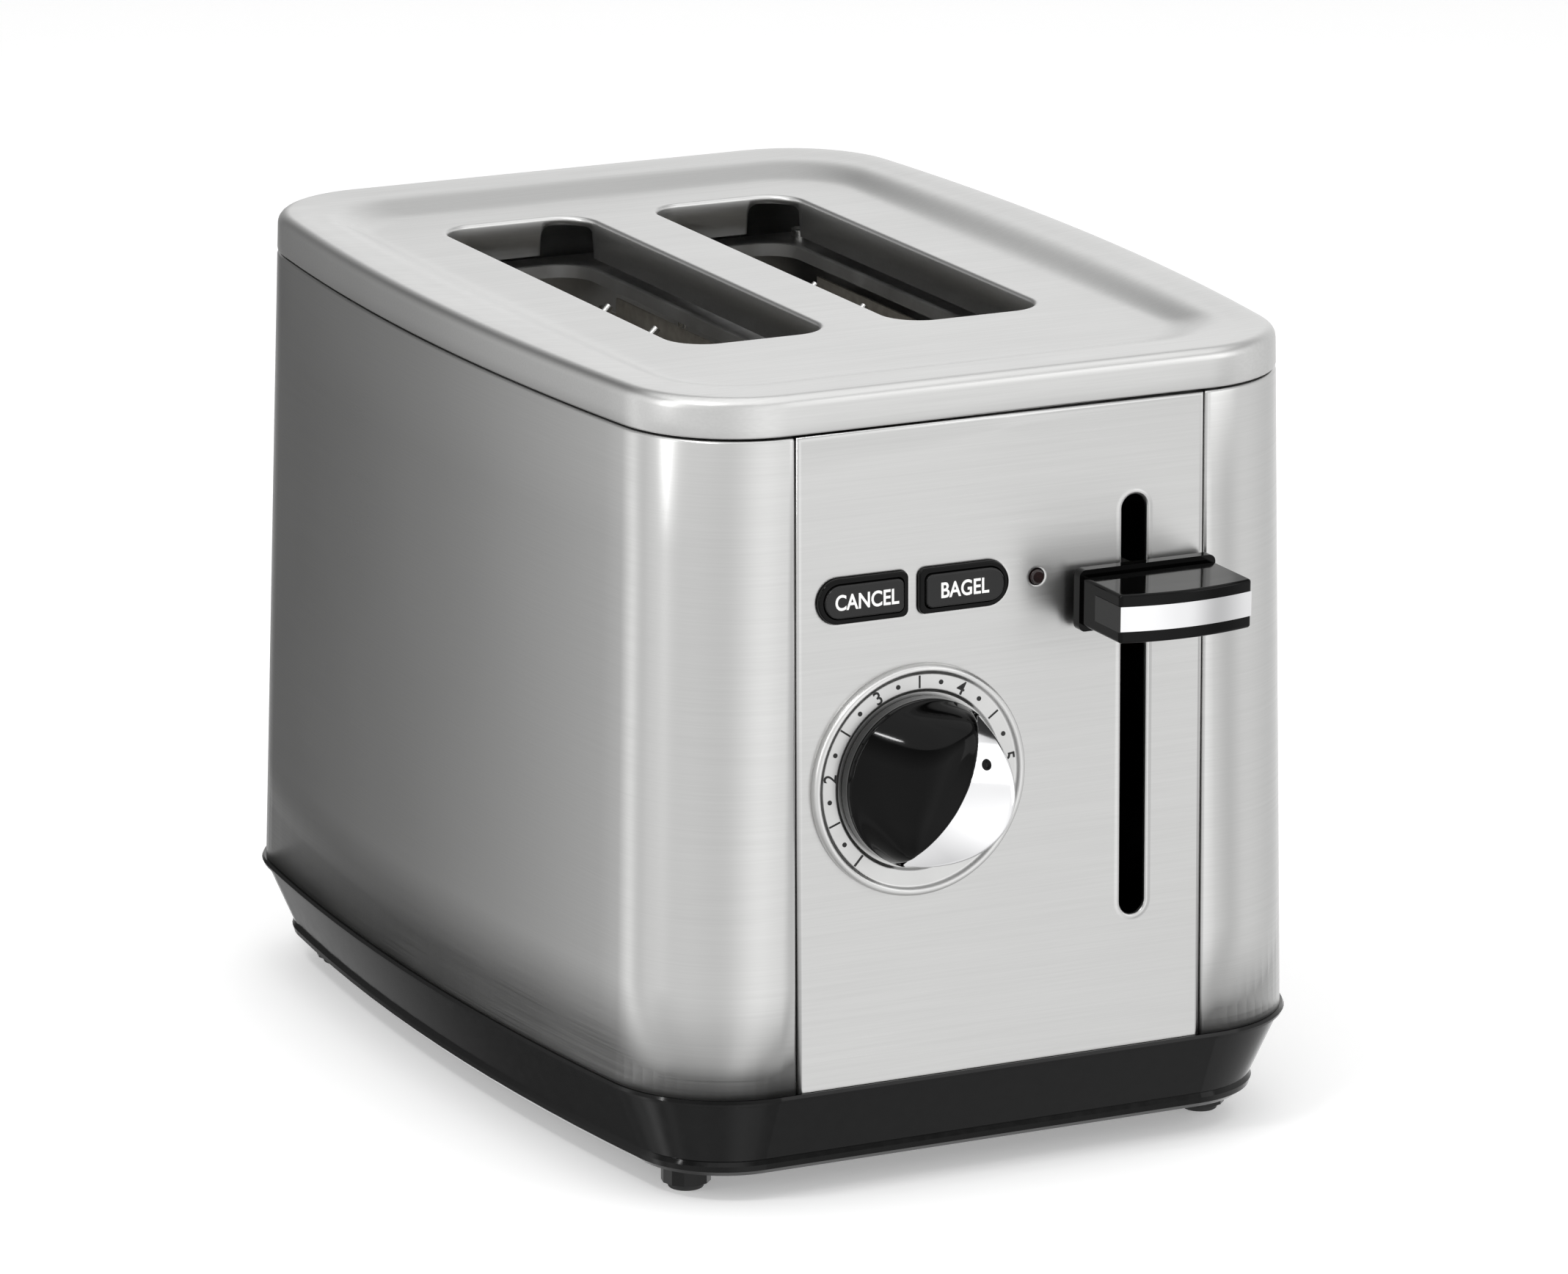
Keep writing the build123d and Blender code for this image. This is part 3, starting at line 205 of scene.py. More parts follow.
def steel(name, colour, grain_mm, rough, spread_rough=0.1, anisotropic=0.0, bump=0.0):
    """Stainless sheet whose fine parallel scratches vary its gloss, and a little its colour."""
    made, tree, shader = new_material(name)
    grain = noise_on(tree, grain_mm, 3.0)
    cloud = noise_on(tree, (cloud_mm, cloud_mm, cloud_mm))
    tone = add(tree, "ShaderNodeMix", {"Factor": spread(tree, grain.outputs[0], 0.0, 1.0),
                                       "A": linear(colour[0]), "B": linear(colour[1])}, data_type="RGBA")
    tree.links.new(tone.outputs["Result"], shader.inputs["Base Color"])
    gloss = add(tree, "ShaderNodeMath", {
        0: spread(tree, grain.outputs[0], rough, rough + spread_rough),
        1: spread(tree, cloud.outputs[0], 0.0, cloud_gloss)}, operation="ADD")
    tree.links.new(gloss.outputs[0], shader.inputs["Roughness"])
    shader.inputs["Metallic"].default_value = 1.0
    if anisotropic:
        shader.inputs["Anisotropic"].default_value = anisotropic
        shader.inputs["Anisotropic Rotation"].default_value = 0.25
        tangent = add(tree, "ShaderNodeTangent", direction_type="RADIAL", axis="Z")
        tree.links.new(tangent.outputs[0], shader.inputs["Tangent"])
    if bump:
        bumps = add(tree, "ShaderNodeBump", {"Height": grain.outputs[0], "Strength": bump,
                                             "Distance": bump_depth})
        tree.links.new(bumps.outputs[0], shader.inputs["Normal"])
    return made


def plastic(name, colour, rough, grain_mm=1.2, bump=0.05, shine=0.5):
    """A moulded plastic: even colour, slight waviness in its gloss."""
    made, tree, shader = new_material(name)
    grain = noise_on(tree, (grain_mm,) * 3)
    tone = add(tree, "ShaderNodeMix", {"Factor": spread(tree, grain.outputs[0], 0.0, 1.0),
                                       "A": linear(colour[0]), "B": linear(colour[1])}, data_type="RGBA")
    tree.links.new(tone.outputs["Result"], shader.inputs["Base Color"])
    tree.links.new(spread(tree, grain.outputs[0], rough, rough + 0.06), shader.inputs["Roughness"])
    bumps = add(tree, "ShaderNodeBump", {"Height": grain.outputs[0], "Strength": bump,
                                         "Distance": bump_depth})
    tree.links.new(bumps.outputs[0], shader.inputs["Normal"])
    shader.inputs["Specular IOR Level"].default_value = shine
    return made


# Brushed with a belt: level scratches that stretch each highlight upright. Real ones are finer than
# 0.1 mm; they are drawn 0.35 mm wide so that they show.
brushed = steel("brushed_stainless_430", ("#cdcdcc", "#c9c9c8"), (30, 30, 0.35), 0.27, 0.05, 0.6, 0.05)
# Satin rolled: softer, with faint lines across the lid, also drawn coarser than the real ones.
satin = steel("satin_stainless_430", ("#d2d2d1", "#cdcdcc"), (30, 0.5, 0.5), 0.32, 0.04, 0.0, 0.02)
# Hot-dipped in aluminium: cloudy grey patches of uneven gloss.
inner = steel("aluminised_steel", ("#c6c6c5", "#b8b8b7"), (8, 8, 8), 0.34, 0.12)
# Drawn and plated: bright round wire.
wire = steel("plated_steel_wire", ("#d8d8d6", "#c4c4c2"), (1.5, 1.5, 1.5), 0.22, 0.1)
# Plated over polished plastic: a clear mirror.
chrome = steel("bright_chrome_plate", ("#e9e9ea", "#e2e2e3"), (30, 30, 30), 0.05, 0.02)
# Spun from sheet: an even, pale, silky grey.
spun = steel("spun_aluminium", ("#dadad9", "#d2d2d1"), (12, 12, 12), 0.34, 0.04)
# Moulded in a polished tool: black with long soft reflections.
base_black = plastic("gloss_black_polypropylene", ("#070707", "#0a0a0a"), 0.1, 3.0, 0.02, 0.25)
# Moulded in a mirror-finished tool: deep black, with small sharp highlights only.
gloss_black = plastic("piano_black_abs", ("#040404", "#060606"), 0.05, 9.0, 0.0, 0.14)
# Moulded in a satin tool: a softer, slightly greyer black.
button_black = plastic("satin_black_abs", ("#151515", "#191919"), 0.2, 9.0, 0.0, 0.35)
# Moulded rubber: matt, and a little grained.
rubber = plastic("black_rubber", ("#161616", "#1c1c1c"), 0.62, 0.8, 0.3)
# Drawn and enamelled: a warm brown metal.
copper = steel("enamelled_copper", ("#a5562c", "#8f4522"), (0.4, 0.4, 0.4), 0.3)
# Pressed glass cloth under solder mask: an even dark green.
green_board = plastic("fibreglass_board", ("#1f4a2c", "#1a4026"), 0.4, 3.0)
# Moulded: the dull near-black of component bodies.
dark_part = plastic("epoxy_black", ("#1c1c1e", "#222225"), 0.45)
# Moulded: an off-white with a soft sheen.
white_part = plastic("white_nylon", ("#d9d7cf", "#cfccc2"), 0.45)
# Moulded and tinted: nearly black until its lamp is lit.
smoked = plastic("smoked_lens", ("#1c1414", "#241717"), 0.1)
# Pressed from flakes: patchy warm grey with a low sheen.
mica = plastic("mica_sheet", ("#a39e95", "#918c83"), 0.42, 2.5, 0.2)
# Rolled and darkened by heat: a dull grey-brown metal.
ribbon = steel("nichrome_ribbon", ("#8a8580", "#6f6a66"), (3, 3, 0.4), 0.35)

slot_finish = {
    "satin_steel": satin, "brushed_steel": brushed, "black_base": base_black, "pad_rubber": rubber,
    "inner_steel": inner, "wire_steel": wire, "copper_winding": copper, "circuit_board": green_board,
    "component_black": dark_part, "component_white": white_part, "dial_metal": spun,
    "gloss_black": gloss_black,
    "lens_dark": smoked, "bright_chrome": chrome, "button_black": button_black, "mica_sheet": mica,
    "heating_ribbon": ribbon,
}
slot_of = {row["node"]: row["material_slot"] for row in frame["record"]["subparts"]}
for name, shown in frame["nodes"].items():
    shown.data.materials.clear()
    shown.data.materials.append(slot_finish[slot_of[name]])

# ---- Lid
# One pressing of satin stainless steel: a rolled rim, a soft dip to the flat middle, and two
# bread slots whose edges turn down inside, with a notch punched at the back of each.
weld_distance, least_edge = 0.002 * MM, 0.0005 * MM


def make_piece(name, points, faces, finish, body, node):
    """Puts a mesh, given in millimetres, in the scene as a piece that stands for a CAD node."""
    mesh = bpy.data.meshes.new(name)
    mesh.from_pydata([[c * MM for c in p] for p in points], [], faces)
    shell = bmesh.new()
    shell.from_mesh(mesh)
    bmesh.ops.remove_doubles(shell, verts=shell.verts, dist=weld_distance)
    bmesh.ops.dissolve_degenerate(shell, edges=shell.edges, dist=least_edge)
    shell.to_mesh(mesh)
    shell.free()
    mesh.materials.append(finish)
    mesh.shade_smooth()
    piece = bpy.data.objects.new(name, mesh)
    bpy.context.scene.collection.objects.link(piece)
    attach(piece, body)
    if node:
        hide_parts(node)
    return piece


def finish_with(piece, kind, **settings):
    """Adds a modifier to a piece."""
    added = piece.modifiers.new(kind.lower(), kind)
    for key, value in settings.items():
        setattr(added, key, value)


def bridge(rows, closed=True):
    """Joins rows of as many points each by quads. Rows run anticlockwise, from the foot up or inwards."""
    count = len(rows[0])
    points = [p for row in rows for p in row]
    faces = []
    for level in range(len(rows) - 1):
        for i in range(count if closed else count - 1):
            j = (i + 1) % count
            a, b = level * count, (level + 1) * count
            faces.append((a + i, a + j, b + j, b + i))
    return points, faces


def merge(*meshes):
    """Several (points, faces) as one."""
    points, faces = [], []
    for more_points, more_faces in meshes:
        start = len(points)
        points += more_points
        faces += [tuple(start + i for i in face) for face in more_faces]
    return points, faces


def within(x, y, loop):
    """Whether a place is inside a loop."""
    inside = False
    for (ax, ay), (bx, by) in zip(loop, loop[1:] + loop[:1]):
        if (ay > y) != (by > y) and x < ax + (bx - ax) * (y - ay) / (by - ay):
            inside = not inside
    return inside


def flat_with_holes(outline, holes, step=5.0):
    """Fills a flat outline round its holes with small, even triangles; the faces look along +Z."""
    loops = [[(p[0], p[1]) for p in loop] for loop in [outline] + holes]
    points, edges = [], []
    for loop in loops:
        edges += [(len(points) + i, len(points) + (i + 1) % len(loop)) for i in range(len(loop))]
        points += loop
    edge_points = np.array(points)
    low, high = edge_points.min(axis=0), edge_points.max(axis=0)
    for x in np.arange(low[0] + step / 2, high[0], step):
        for y in np.arange(low[1] + step / 2, high[1], step):
            clear = np.hypot(edge_points[:, 0] - x, edge_points[:, 1] - y).min() > 0.5 * step
            if clear and within(x, y, loops[0]) and not any(within(x, y, hole) for hole in loops[1:]):
                points.append((x, y))
    placed, _, faces, *_ = delaunay_2d_cdt([Vector(p) for p in points], edges, [], 0, 0.0001)
    kept = []
    for face in faces:
        x = sum(placed[i].x for i in face) / 3
        y = sum(placed[i].y for i in face) / 3
        if within(x, y, loops[0]) and not any(within(x, y, hole) for hole in loops[1:]):
            a, b, c = (placed[i] for i in face)
            kept.append(tuple(face) if (b - a).cross(c - a) > 0 else tuple(face[::-1]))
    return [(p.x, p.y) for p in placed], kept


def arc(centre, radius, start, end, steps):
    """Points on an arc, by angles in radians."""
    return [(centre[0] + radius * math.cos(start + (end - start) * k / steps),
             centre[1] + radius * math.sin(start + (end - start) * k / steps)) for k in range(steps + 1)]


def round_bar(width, height, left, right, grow=0.0, steps=8, middle=(0, 0)):
    """An anticlockwise bar whose left and right corners have their own radii, grown on every side."""
    half_w, half_h = width / 2 + grow, height / 2 + grow
    outline = []
    for side_x, side_y, radius, start in ((1, -1, right, -90), (1, 1, right, 0),
                                          (-1, 1, left, 90), (-1, -1, left, 180)):
        r = min(radius + grow, half_h - 0.02)
        centre = (middle[0] + side_x * (half_w - r), middle[1] + side_y * (half_h - r))
        outline += arc(centre, r, math.radians(start), math.radians(start + 90), steps)
    return outline


base_box, lid_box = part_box("base"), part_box("top_cover")
body_y = (base_box[0].y + base_box[1].y) / 2 / MM
foot_half_x = (base_box[1].x - base_box[0].x) / 2 / MM - 1.0
foot_half_y = (base_box[1].y - base_box[0].y) / 2 / MM - 1.0
steel_foot_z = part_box("left_shell")[0].z / MM
lean_angle = math.radians(1.2)
wall_lean = math.tan(lean_angle)
side_bow = 768.0
corner_round = 28.6
dip_half_x, dip_front, dip_rear, dip_corner = 62.0, 89.6, 92.6, 17.0
flat_steps, corner_steps, bow_steps = 10, 14, 24


def side_path(z, inset):
    """The right-hand side's plan at a height, from the front flat round to the rear flat."""
    half_x = foot_half_x - (z - steel_foot_z) * wall_lean
    half_y = foot_half_y - (z - steel_foot_z) * wall_lean
    reach = half_y - corner_round
    shift = half_x - side_bow
    corner_x = shift + math.sqrt((side_bow - corner_round) ** 2 - reach ** 2)
    lean = math.atan2(reach, corner_x - shift)
    front = arc((corner_x, -reach), corner_round - inset, -math.pi / 2, -lean, corner_steps)
    bow = arc((shift, 0), side_bow - inset, -lean, lean, bow_steps)
    rear = arc((corner_x, reach), corner_round - inset, lean, math.pi / 2, corner_steps)
    return front + bow[1:-1] + rear


def plan(z, inset):
    """The steel's whole plan at a height, anticlockwise from the front left, with points along its flats."""
    side = side_path(z, inset)
    half_flat, end_y = side[0][0], side[-1][1]
    flat = [half_flat * (2 * k / flat_steps - 1) for k in range(1, flat_steps)]
    ring = [(x, -end_y) for x in flat] + side + [(-x, end_y) for x in flat] + [(-x, -y) for x, y in side]
    return [(x, y + body_y, z) for x, y in ring]


def dip_plan(z):
    """The outline of the lid's flat middle, with a point for each of the plan's."""
    half_x, low_y, high_y, corner = dip_half_x, body_y - dip_front, body_y + dip_rear, dip_corner
    mid_y, half_y = (low_y + high_y) / 2, (high_y - low_y) / 2
    flat = [(half_x - corner) * (2 * k / flat_steps - 1) for k in range(1, flat_steps)]
    front = arc((half_x - corner, -half_y + corner), corner, -math.pi / 2, 0, corner_steps)
    side = [(half_x, (half_y - corner) * (2 * k / bow_steps - 1)) for k in range(1, bow_steps)]
    rear = arc((half_x - corner, half_y - corner), corner, 0, math.pi / 2, corner_steps)
    right = front + side + rear
    ring = [(x, -half_y) for x in flat] + right + [(-x, half_y) for x in flat] + [(-x, -y) for x, y in right]
    return [(x, y + mid_y, z) for x, y in ring]


def smooth(t):
    """An even start and end between 0 and 1."""
    return t * t * (3 - 2 * t)


lid_gap, rim_round, rim_hem, dip_depth = 0.4, 2.6, 0.5, 3.4
lid_foot, lid_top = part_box("left_shell")[1].z / MM + lid_gap, lid_box[1].z / MM
dip_z = lid_top - dip_depth
rim_foot = ((0.6, 1.2), (0, rim_hem), (0.15, 0.15), (rim_hem, 0), (3, 0))  # height, inset
lid_rows = [plan(lid_foot + up, inset) for up, inset in rim_foot]
round_steps = 6
for k in range(round_steps + 1):
    angle = k / round_steps * math.pi / 2
    lid_rows.append(plan(lid_top - rim_round * (1 - math.sin(angle)), rim_round * (1 - math.cos(angle))))
rim_plan, dip_edge = plan(lid_top, rim_round + 0.3), dip_plan(dip_z)
rim_steps = 18
rim_drop, rim_share, dip_start, dip_share = 0.5, 0.45, 0.38, 0.62
for k in range(rim_steps + 1):
    t = k / rim_steps
    drop = rim_drop * smooth(min(1, t / rim_share))
    drop += (lid_top - dip_z - rim_drop) * smooth(max(0, (t - dip_start) / dip_share))
    lid_rows.append([(a[0] + (b[0] - a[0]) * t, a[1] + (b[1] - a[1]) * t, lid_top - drop)
                     for a, b in zip(rim_plan, dip_edge)])
slot_width, slot_length, slot_corner, slot_x = 38.0, 133.2, 9.0, 27.6
slot_mid_y = body_y + 14.6
slot_fold, slot_border = 0.9, 0.5
slot_steps, fold_steps = 16, 5
past_notch = (0.3, 0.6, 0.9, 1.2, 1.5, 2.0)
flange_low = dip_z - 9.2
notch_near, notch_far, notch_top, notch_round = 1.2, 15.4, dip_z - 2.0, 2.6


def flange_foot(along):
    """How far down the slot's turned edge reaches: less over the notch round its rear right corner."""
    from_side = min(along - notch_near, notch_far - along)
    if from_side <= 0:
        return flange_low
    if from_side > notch_round:
        return notch_top
    return notch_top - notch_round + math.sqrt(max(0.0, notch_round ** 2 - (notch_round - from_side) ** 2))


def slot_ring(side, grow, z):
    """One row round a bread slot, with extra points past its notched corner. z None means its foot."""
    corners = round_bar(slot_width, slot_length, slot_corner, slot_corner, grow, slot_steps)
    at_arc, at_wall = slot_steps + 1, 2 * (slot_steps + 1)
    rear_y = corners[at_wall - 1][1]
    extra = [(slot_width / 2 - slot_corner - d, rear_y) for d in past_notch]
    outline = corners[:at_wall] + extra + corners[at_wall:]
    arc_length = slot_corner * math.pi / 2
    foot = [flange_low] * at_arc + [flange_foot(arc_length * k / slot_steps) for k in range(at_arc)]
    foot += [flange_foot(arc_length + slot_width / 2 - slot_corner - x) for x, y in extra]
    foot += [flange_low] * (len(outline) - len(foot))
    return [(x + side * slot_x, y + slot_mid_y, low if z is None else z)
            for (x, y), low in zip(outline, foot)]


parts = [bridge(lid_rows)]
holes = []
for side in (-1, 1):
    rows = [slot_ring(side, slot_fold * (1 - math.sin(k / fold_steps * math.pi / 2)),
                      dip_z - slot_fold * (1 - math.cos(k / fold_steps * math.pi / 2)))
            for k in range(fold_steps + 1)]
    rows.insert(0, slot_ring(side, slot_fold + slot_border, dip_z))
    rows.append(slot_ring(side, 0, None))
    holes.append(rows[0])
    parts.append(bridge(rows))
outline_flat = lid_rows[-1]
fill_points, fill_faces = flat_with_holes(outline_flat, holes)
parts.append(([(x, y, dip_z) for x, y in fill_points], fill_faces))
lid_sheet, wrap_sheet = 0.8 * MM, 0.7 * MM
lid = make_piece("lid", *merge(*parts), satin, "chassis", "top_cover")
finish_with(lid, "SOLIDIFY", thickness=lid_sheet, offset=-1, use_even_offset=False)

# ---- Side wraps
# Two bowed sheets of brushed stainless steel. Each wraps round both corners and is folded in at the
# upright seams and under the lid.
seam_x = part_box("front_panel")[1].x / MM + 0.3
fold = 0.7
shell_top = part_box("left_shell")[1].z / MM
level_count, top_hem, seam_hem = 6, 4.0, 3.0
wrap_levels = [(steel_foot_z, 0)] + [(steel_foot_z + k * (shell_top - fold - steel_foot_z) / level_count, 0)
                                     for k in range(1, level_count + 1)]
wrap_levels += [(shell_top - 0.3 * fold, 0.3 * fold), (shell_top, fold), (shell_top, top_hem)]


def wrap_row(side, z, inset):
    """One row of a wrap at a height, from the hem at its front seam to the hem at its rear one."""
    path = side_path(z, inset)
    end_y = path[-1][1]
    hem = [(seam_x, end_y - seam_hem), (seam_x, end_y - fold), (seam_x + 0.3 * fold, end_y - 0.3 * fold),
           (seam_x + fold, end_y)]
    row = [(x, -y) for x, y in hem] + path + hem[::-1]
    if side < 0:
        row = [(-x, y) for x, y in row[::-1]]
    return [(x, y + body_y, z) for x, y in row]


for side, name in ((-1, "left"), (1, "right")):
    rows = [wrap_row(side, z, inset) for z, inset in wrap_levels]
    wrap = make_piece(name + "_wrap", *bridge(rows, closed=False), brushed, "chassis", name + "_shell")
    finish_with(wrap, "SOLIDIFY", thickness=wrap_sheet, offset=-1)

# ---- Front and rear panels
# Flat brushed sheets between the wraps. The front one is pierced for the lever, the two buttons, the
# dial's shaft and the indicator. The lever's opening is pressed to a soft bead, the buttons' edges are
# rolled in, and the round holes have a plain rounded edge.
panel_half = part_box("front_panel")[1].x / MM
panel_height = (shell_top - steel_foot_z) / math.cos(lean_angle)


def on_panel(u, v, out=0.0, rear=False):
    """A place on the front or rear steel: u across, v up from its foot, out of the face."""
    y = -foot_half_y + v * math.sin(lean_angle) - out * math.cos(lean_angle)
    z = steel_foot_z + v * math.cos(lean_angle) + out * math.sin(lean_angle)
    return (-u, body_y - y, z) if rear else (u, body_y + y, z)


def at_height(z):
    """How far up a panel a height is."""
    return (z - steel_foot_z) / math.cos(lean_angle)


def panel_piece(name, node, openings, rear=False):
    """A folded panel. Each opening is (how it grows, its edge's rows of (grow, out))."""
    edge_rows = [(0, -seam_hem), (0, -fold), (0.3 * fold, -0.3 * fold), (fold, 0), (fold + 0.5, 0)]
    rows, holes = [], []
    for inset, out in edge_rows:
        corners = [(-panel_half + inset, inset * 0.1), (panel_half - inset, inset * 0.1),
                   (panel_half - inset, panel_height - inset), (-panel_half + inset, panel_height - inset)]
        rows.append([on_panel(u, v, out, rear) for u, v in corners])
    flat = [(u, v) for u, v in corners]
    meshes = [bridge(rows)]
    for grown, profile in openings:
        rings = [[on_panel(u, v, out, rear) for u, v in grown(grow)] for grow, out in profile]
        meshes.append(bridge(rings))
        holes.append(grown(profile[0][0]))
    fill_points, fill_faces = flat_with_holes(flat, holes)
    meshes.append(([on_panel(u, v, 0, rear) for u, v in fill_points], fill_faces))
    piece = make_piece(name, *merge(*meshes), brushed, "chassis", node)
    finish_with(piece, "SOLIDIFY", thickness=wrap_sheet, offset=-1)


lever_low, lever_high, lever_slot_x, lever_slot_width = at_height(57.8), at_height(155.0), 33.45, 6.3
lever_slot_round = 3.1
button_width, button_height, button_play = 22.4, 10.4, 0.6
button_outer_round, button_inner_round = 5.0, 1.6
dial_bore, lens_bore, grommet_bore = 5.0, 1.85, 5.5
button_row = at_height(138.9)
cancel_at, bagel_at = (-35.05, button_row), (-9.9, button_row)
dial_at, lens_at = (-21.3, at_height(96.0)), (8.7, button_row)
pressed_bead = [(1.6, 0), (1.35, 0), (1.1, 0.06), (0.8, 0.14), (0.5, 0.12), (0.22, 0.0), (0.05, -0.3),
                (0, -0.9)]
rolled_edge = [(1.2, 0), (0.9, 0), (0.6, -0.03), (0.3, -0.12), (0.1, -0.28), (0, -0.5), (0, -0.8)]
plain_edge = [(0.8, 0), (0.3, 0), (0.08, -0.1), (0, -0.35), (0, -0.8)]


def lever_opening(grow):
    """The outline of the lever's upright slot, grown on every side."""
    tall = round_bar(lever_high - lever_low, lever_slot_width, lever_slot_round, lever_slot_round, grow)
    return [(lever_slot_x - y, (lever_low + lever_high) / 2 + x) for x, y in tall]


def button_opening(middle, left, right):
    """How a button's opening grows, with its own radii on the left and on the right."""
    width, height = button_width - button_play, button_height - button_play
    return lambda grow: round_bar(width, height, left, right, grow, middle=middle)


def round_opening(middle, radius):
    """How a round opening grows."""
    return lambda grow: arc(middle, radius + grow, 0, 2 * math.pi, 32)[:-1]


panel_piece("control_panel", "front_panel", [
    (lever_opening, pressed_bead),
    (button_opening(cancel_at, button_outer_round, button_inner_round), rolled_edge),
    (button_opening(bagel_at, button_inner_round, button_outer_round), rolled_edge),
    (round_opening(dial_at, dial_bore), plain_edge), (round_opening(lens_at, lens_bore), plain_edge)])
grommet_at = (-(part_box("cord_grommet")[0].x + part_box("cord_grommet")[1].x) / 2 / MM,
              at_height((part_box("cord_grommet")[0].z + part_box("cord_grommet")[1].z) / 2 / MM))
panel_piece("back_panel", "rear_panel", [(round_opening(grommet_at, grommet_bore), plain_edge)], rear=True)

# ---- Dial
# A ring spun from aluminium and fixed to the front panel, with a raised lip outside and a step down to
# a dark gap round the knob. Its numbers, ticks and dots are pad-printed in black on the flat between.


def turned(name, profile, finish, body, node, steps=96):
    """A round piece on the dial's axis, from (radius, out) points."""
    rows = [[on_panel(dial_at[0] + r * math.cos(a), dial_at[1] + r * math.sin(a), out)
             for a in (2 * math.pi * k / steps for k in range(steps))] for r, out in profile]
    return make_piece(name, *bridge(rows), finish, body, node)


bezel_out, bezel_in = 26.5, 20.2
ring_profile = [  # distance from the axis, height on the panel
    (bezel_out, 0.0), (bezel_out, 0.9), (26.35, 1.5), (26.0, 1.95), (25.5, 2.15), (25.0, 2.0), (24.75, 1.75),
    (24.6, 1.5), (24.4, 1.3), (24.2, 1.2), (24.0, 1.2), (21.1, 1.2), (20.9, 1.2), (20.7, 1.13), (20.45, 0.95),
    (bezel_in, 0.5), (20.0, 0.5), (4.2, 0.5), (4.0, 0.2), (4.0, 0.0), (bezel_out, 0.0),
]
turned("dial_ring", ring_profile, spun, "chassis", "dial_bezel")


def made_of(piece_name, tree, inputs, finish, body, place):
    """Runs a geometry tree, keeps its result as a plain mesh, and puts it at its place."""
    carrier_mesh = bpy.data.meshes.new(piece_name + "_start")
    carrier = bpy.data.objects.new(piece_name + "_start", carrier_mesh)
    bpy.context.scene.collection.objects.link(carrier)
    modifier = carrier.modifiers.new("nodes", "NODES")
    modifier.node_group = tree
    for item in tree.interface.items_tree:
        if item.in_out == "INPUT" and item.name in inputs:
            modifier[item.identifier] = inputs[item.name]
    bpy.context.view_layer.update()
    evaluated = carrier.evaluated_get(bpy.context.evaluated_depsgraph_get())
    mesh = bpy.data.meshes.new_from_object(evaluated)
    bpy.data.objects.remove(carrier)
    mesh.name = piece_name
    mesh.transform(place)
    mesh.materials.clear()
    mesh.materials.append(finish)
    piece = bpy.data.objects.new(piece_name, mesh)
    bpy.context.scene.collection.objects.link(piece)
    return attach(piece, body)


def new_tree(name, inputs):
    """An empty geometry tree with named number inputs; returns it, its input node and its output node."""
    tree = bpy.data.node_groups.new(name, "GeometryNodeTree")
    for label, (kind, value) in inputs.items():
        tree.interface.new_socket(label, in_out="INPUT", socket_type=kind).default_value = value
    tree.interface.new_socket("Geometry", in_out="OUTPUT", socket_type="NodeSocketGeometry")
    return tree, add(tree, "NodeGroupInput"), add(tree, "NodeGroupOutput")


def sum_of(tree, a, operation, b=None, c=None):
    """A maths node's result."""
    values = {i: v for i, v in enumerate((a, b, c)) if v is not None}
    return add(tree, "ShaderNodeMath", values, operation=operation).outputs[0]


# Pad-printed ink: thin, even and nearly matt.
ink, tree, shader = new_material("black_pad_print")
shader.inputs["Base Color"].default_value = linear("#141414")
shader.inputs["Roughness"].default_value = 0.5
first_number, number_step, number_count, mark_radius, print_out = 227.5, -55.0, 6, 22.55, 1.24
# A dot, a tick and a dot stand between each two numbers, laid out by geometry nodes.
tree, given, result = new_tree("dial_marks", {
    "Marks": ("NodeSocketInt", 1), "First angle": ("NodeSocketFloat", 0.0), "Step": ("NodeSocketFloat", 0.0),
    "Radius": ("NodeSocketFloat", 0.0), "Dot radius": ("NodeSocketFloat", 0.0),
    "Tick length": ("NodeSocketFloat", 0.0), "Tick width": ("NodeSocketFloat", 0.0),
    "Ink": ("NodeSocketFloat", 0.0)})
index = add(tree, "GeometryNodeInputIndex").outputs[0]
angle = sum_of(tree, index, "MULTIPLY_ADD", given.outputs["Step"], given.outputs["First angle"])
spot = add(tree, "ShaderNodeCombineXYZ", {
    "X": sum_of(tree, sum_of(tree, angle, "COSINE"), "MULTIPLY", given.outputs["Radius"]),
    "Y": sum_of(tree, sum_of(tree, angle, "SINE"), "MULTIPLY", given.outputs["Radius"])})
points = add(tree, "GeometryNodePoints", {"Count": given.outputs["Marks"], "Position": spot.outputs[0]})
dot = add(tree, "GeometryNodeMeshCylinder", {"Vertices": 20, "Radius": given.outputs["Dot radius"],
                                             "Depth": given.outputs["Ink"]})
tick_size = add(tree, "ShaderNodeCombineXYZ", {
    "X": given.outputs["Tick length"], "Y": given.outputs["Tick width"], "Z": given.outputs["Ink"]})
tick = add(tree, "GeometryNodeMeshCube", {"Size": tick_size.outputs[0]})
tick_turn = add(tree, "ShaderNodeCombineXYZ", {"Z": angle})
quarter = sum_of(tree, index, "MODULO", 4.0)
is_dot = sum_of(tree, sum_of(tree, index, "MODULO", 2.0), "COMPARE", 1.0, 0.1)
is_tick = sum_of(tree, quarter, "COMPARE", 2.0, 0.1)
dots = add(tree, "GeometryNodeInstanceOnPoints", {"Points": points.outputs[0], "Selection": is_dot,
                                                  "Instance": dot.outputs["Mesh"]})
ticks = add(tree, "GeometryNodeInstanceOnPoints", {"Points": points.outputs[0], "Selection": is_tick,
                                                   "Instance": tick.outputs["Mesh"],
                                                   "Rotation": tick_turn.outputs[0]})
joined = add(tree, "GeometryNodeJoinGeometry")
for made in (ticks, dots):
    tree.links.new(made.outputs[0], joined.inputs[0])
real = add(tree, "GeometryNodeRealizeInstances", {"Geometry": joined.outputs[0]})
inked = add(tree, "GeometryNodeSetMaterial", {"Geometry": real.outputs[0], "Material": ink})
tree.links.new(inked.outputs[0], result.inputs[0])


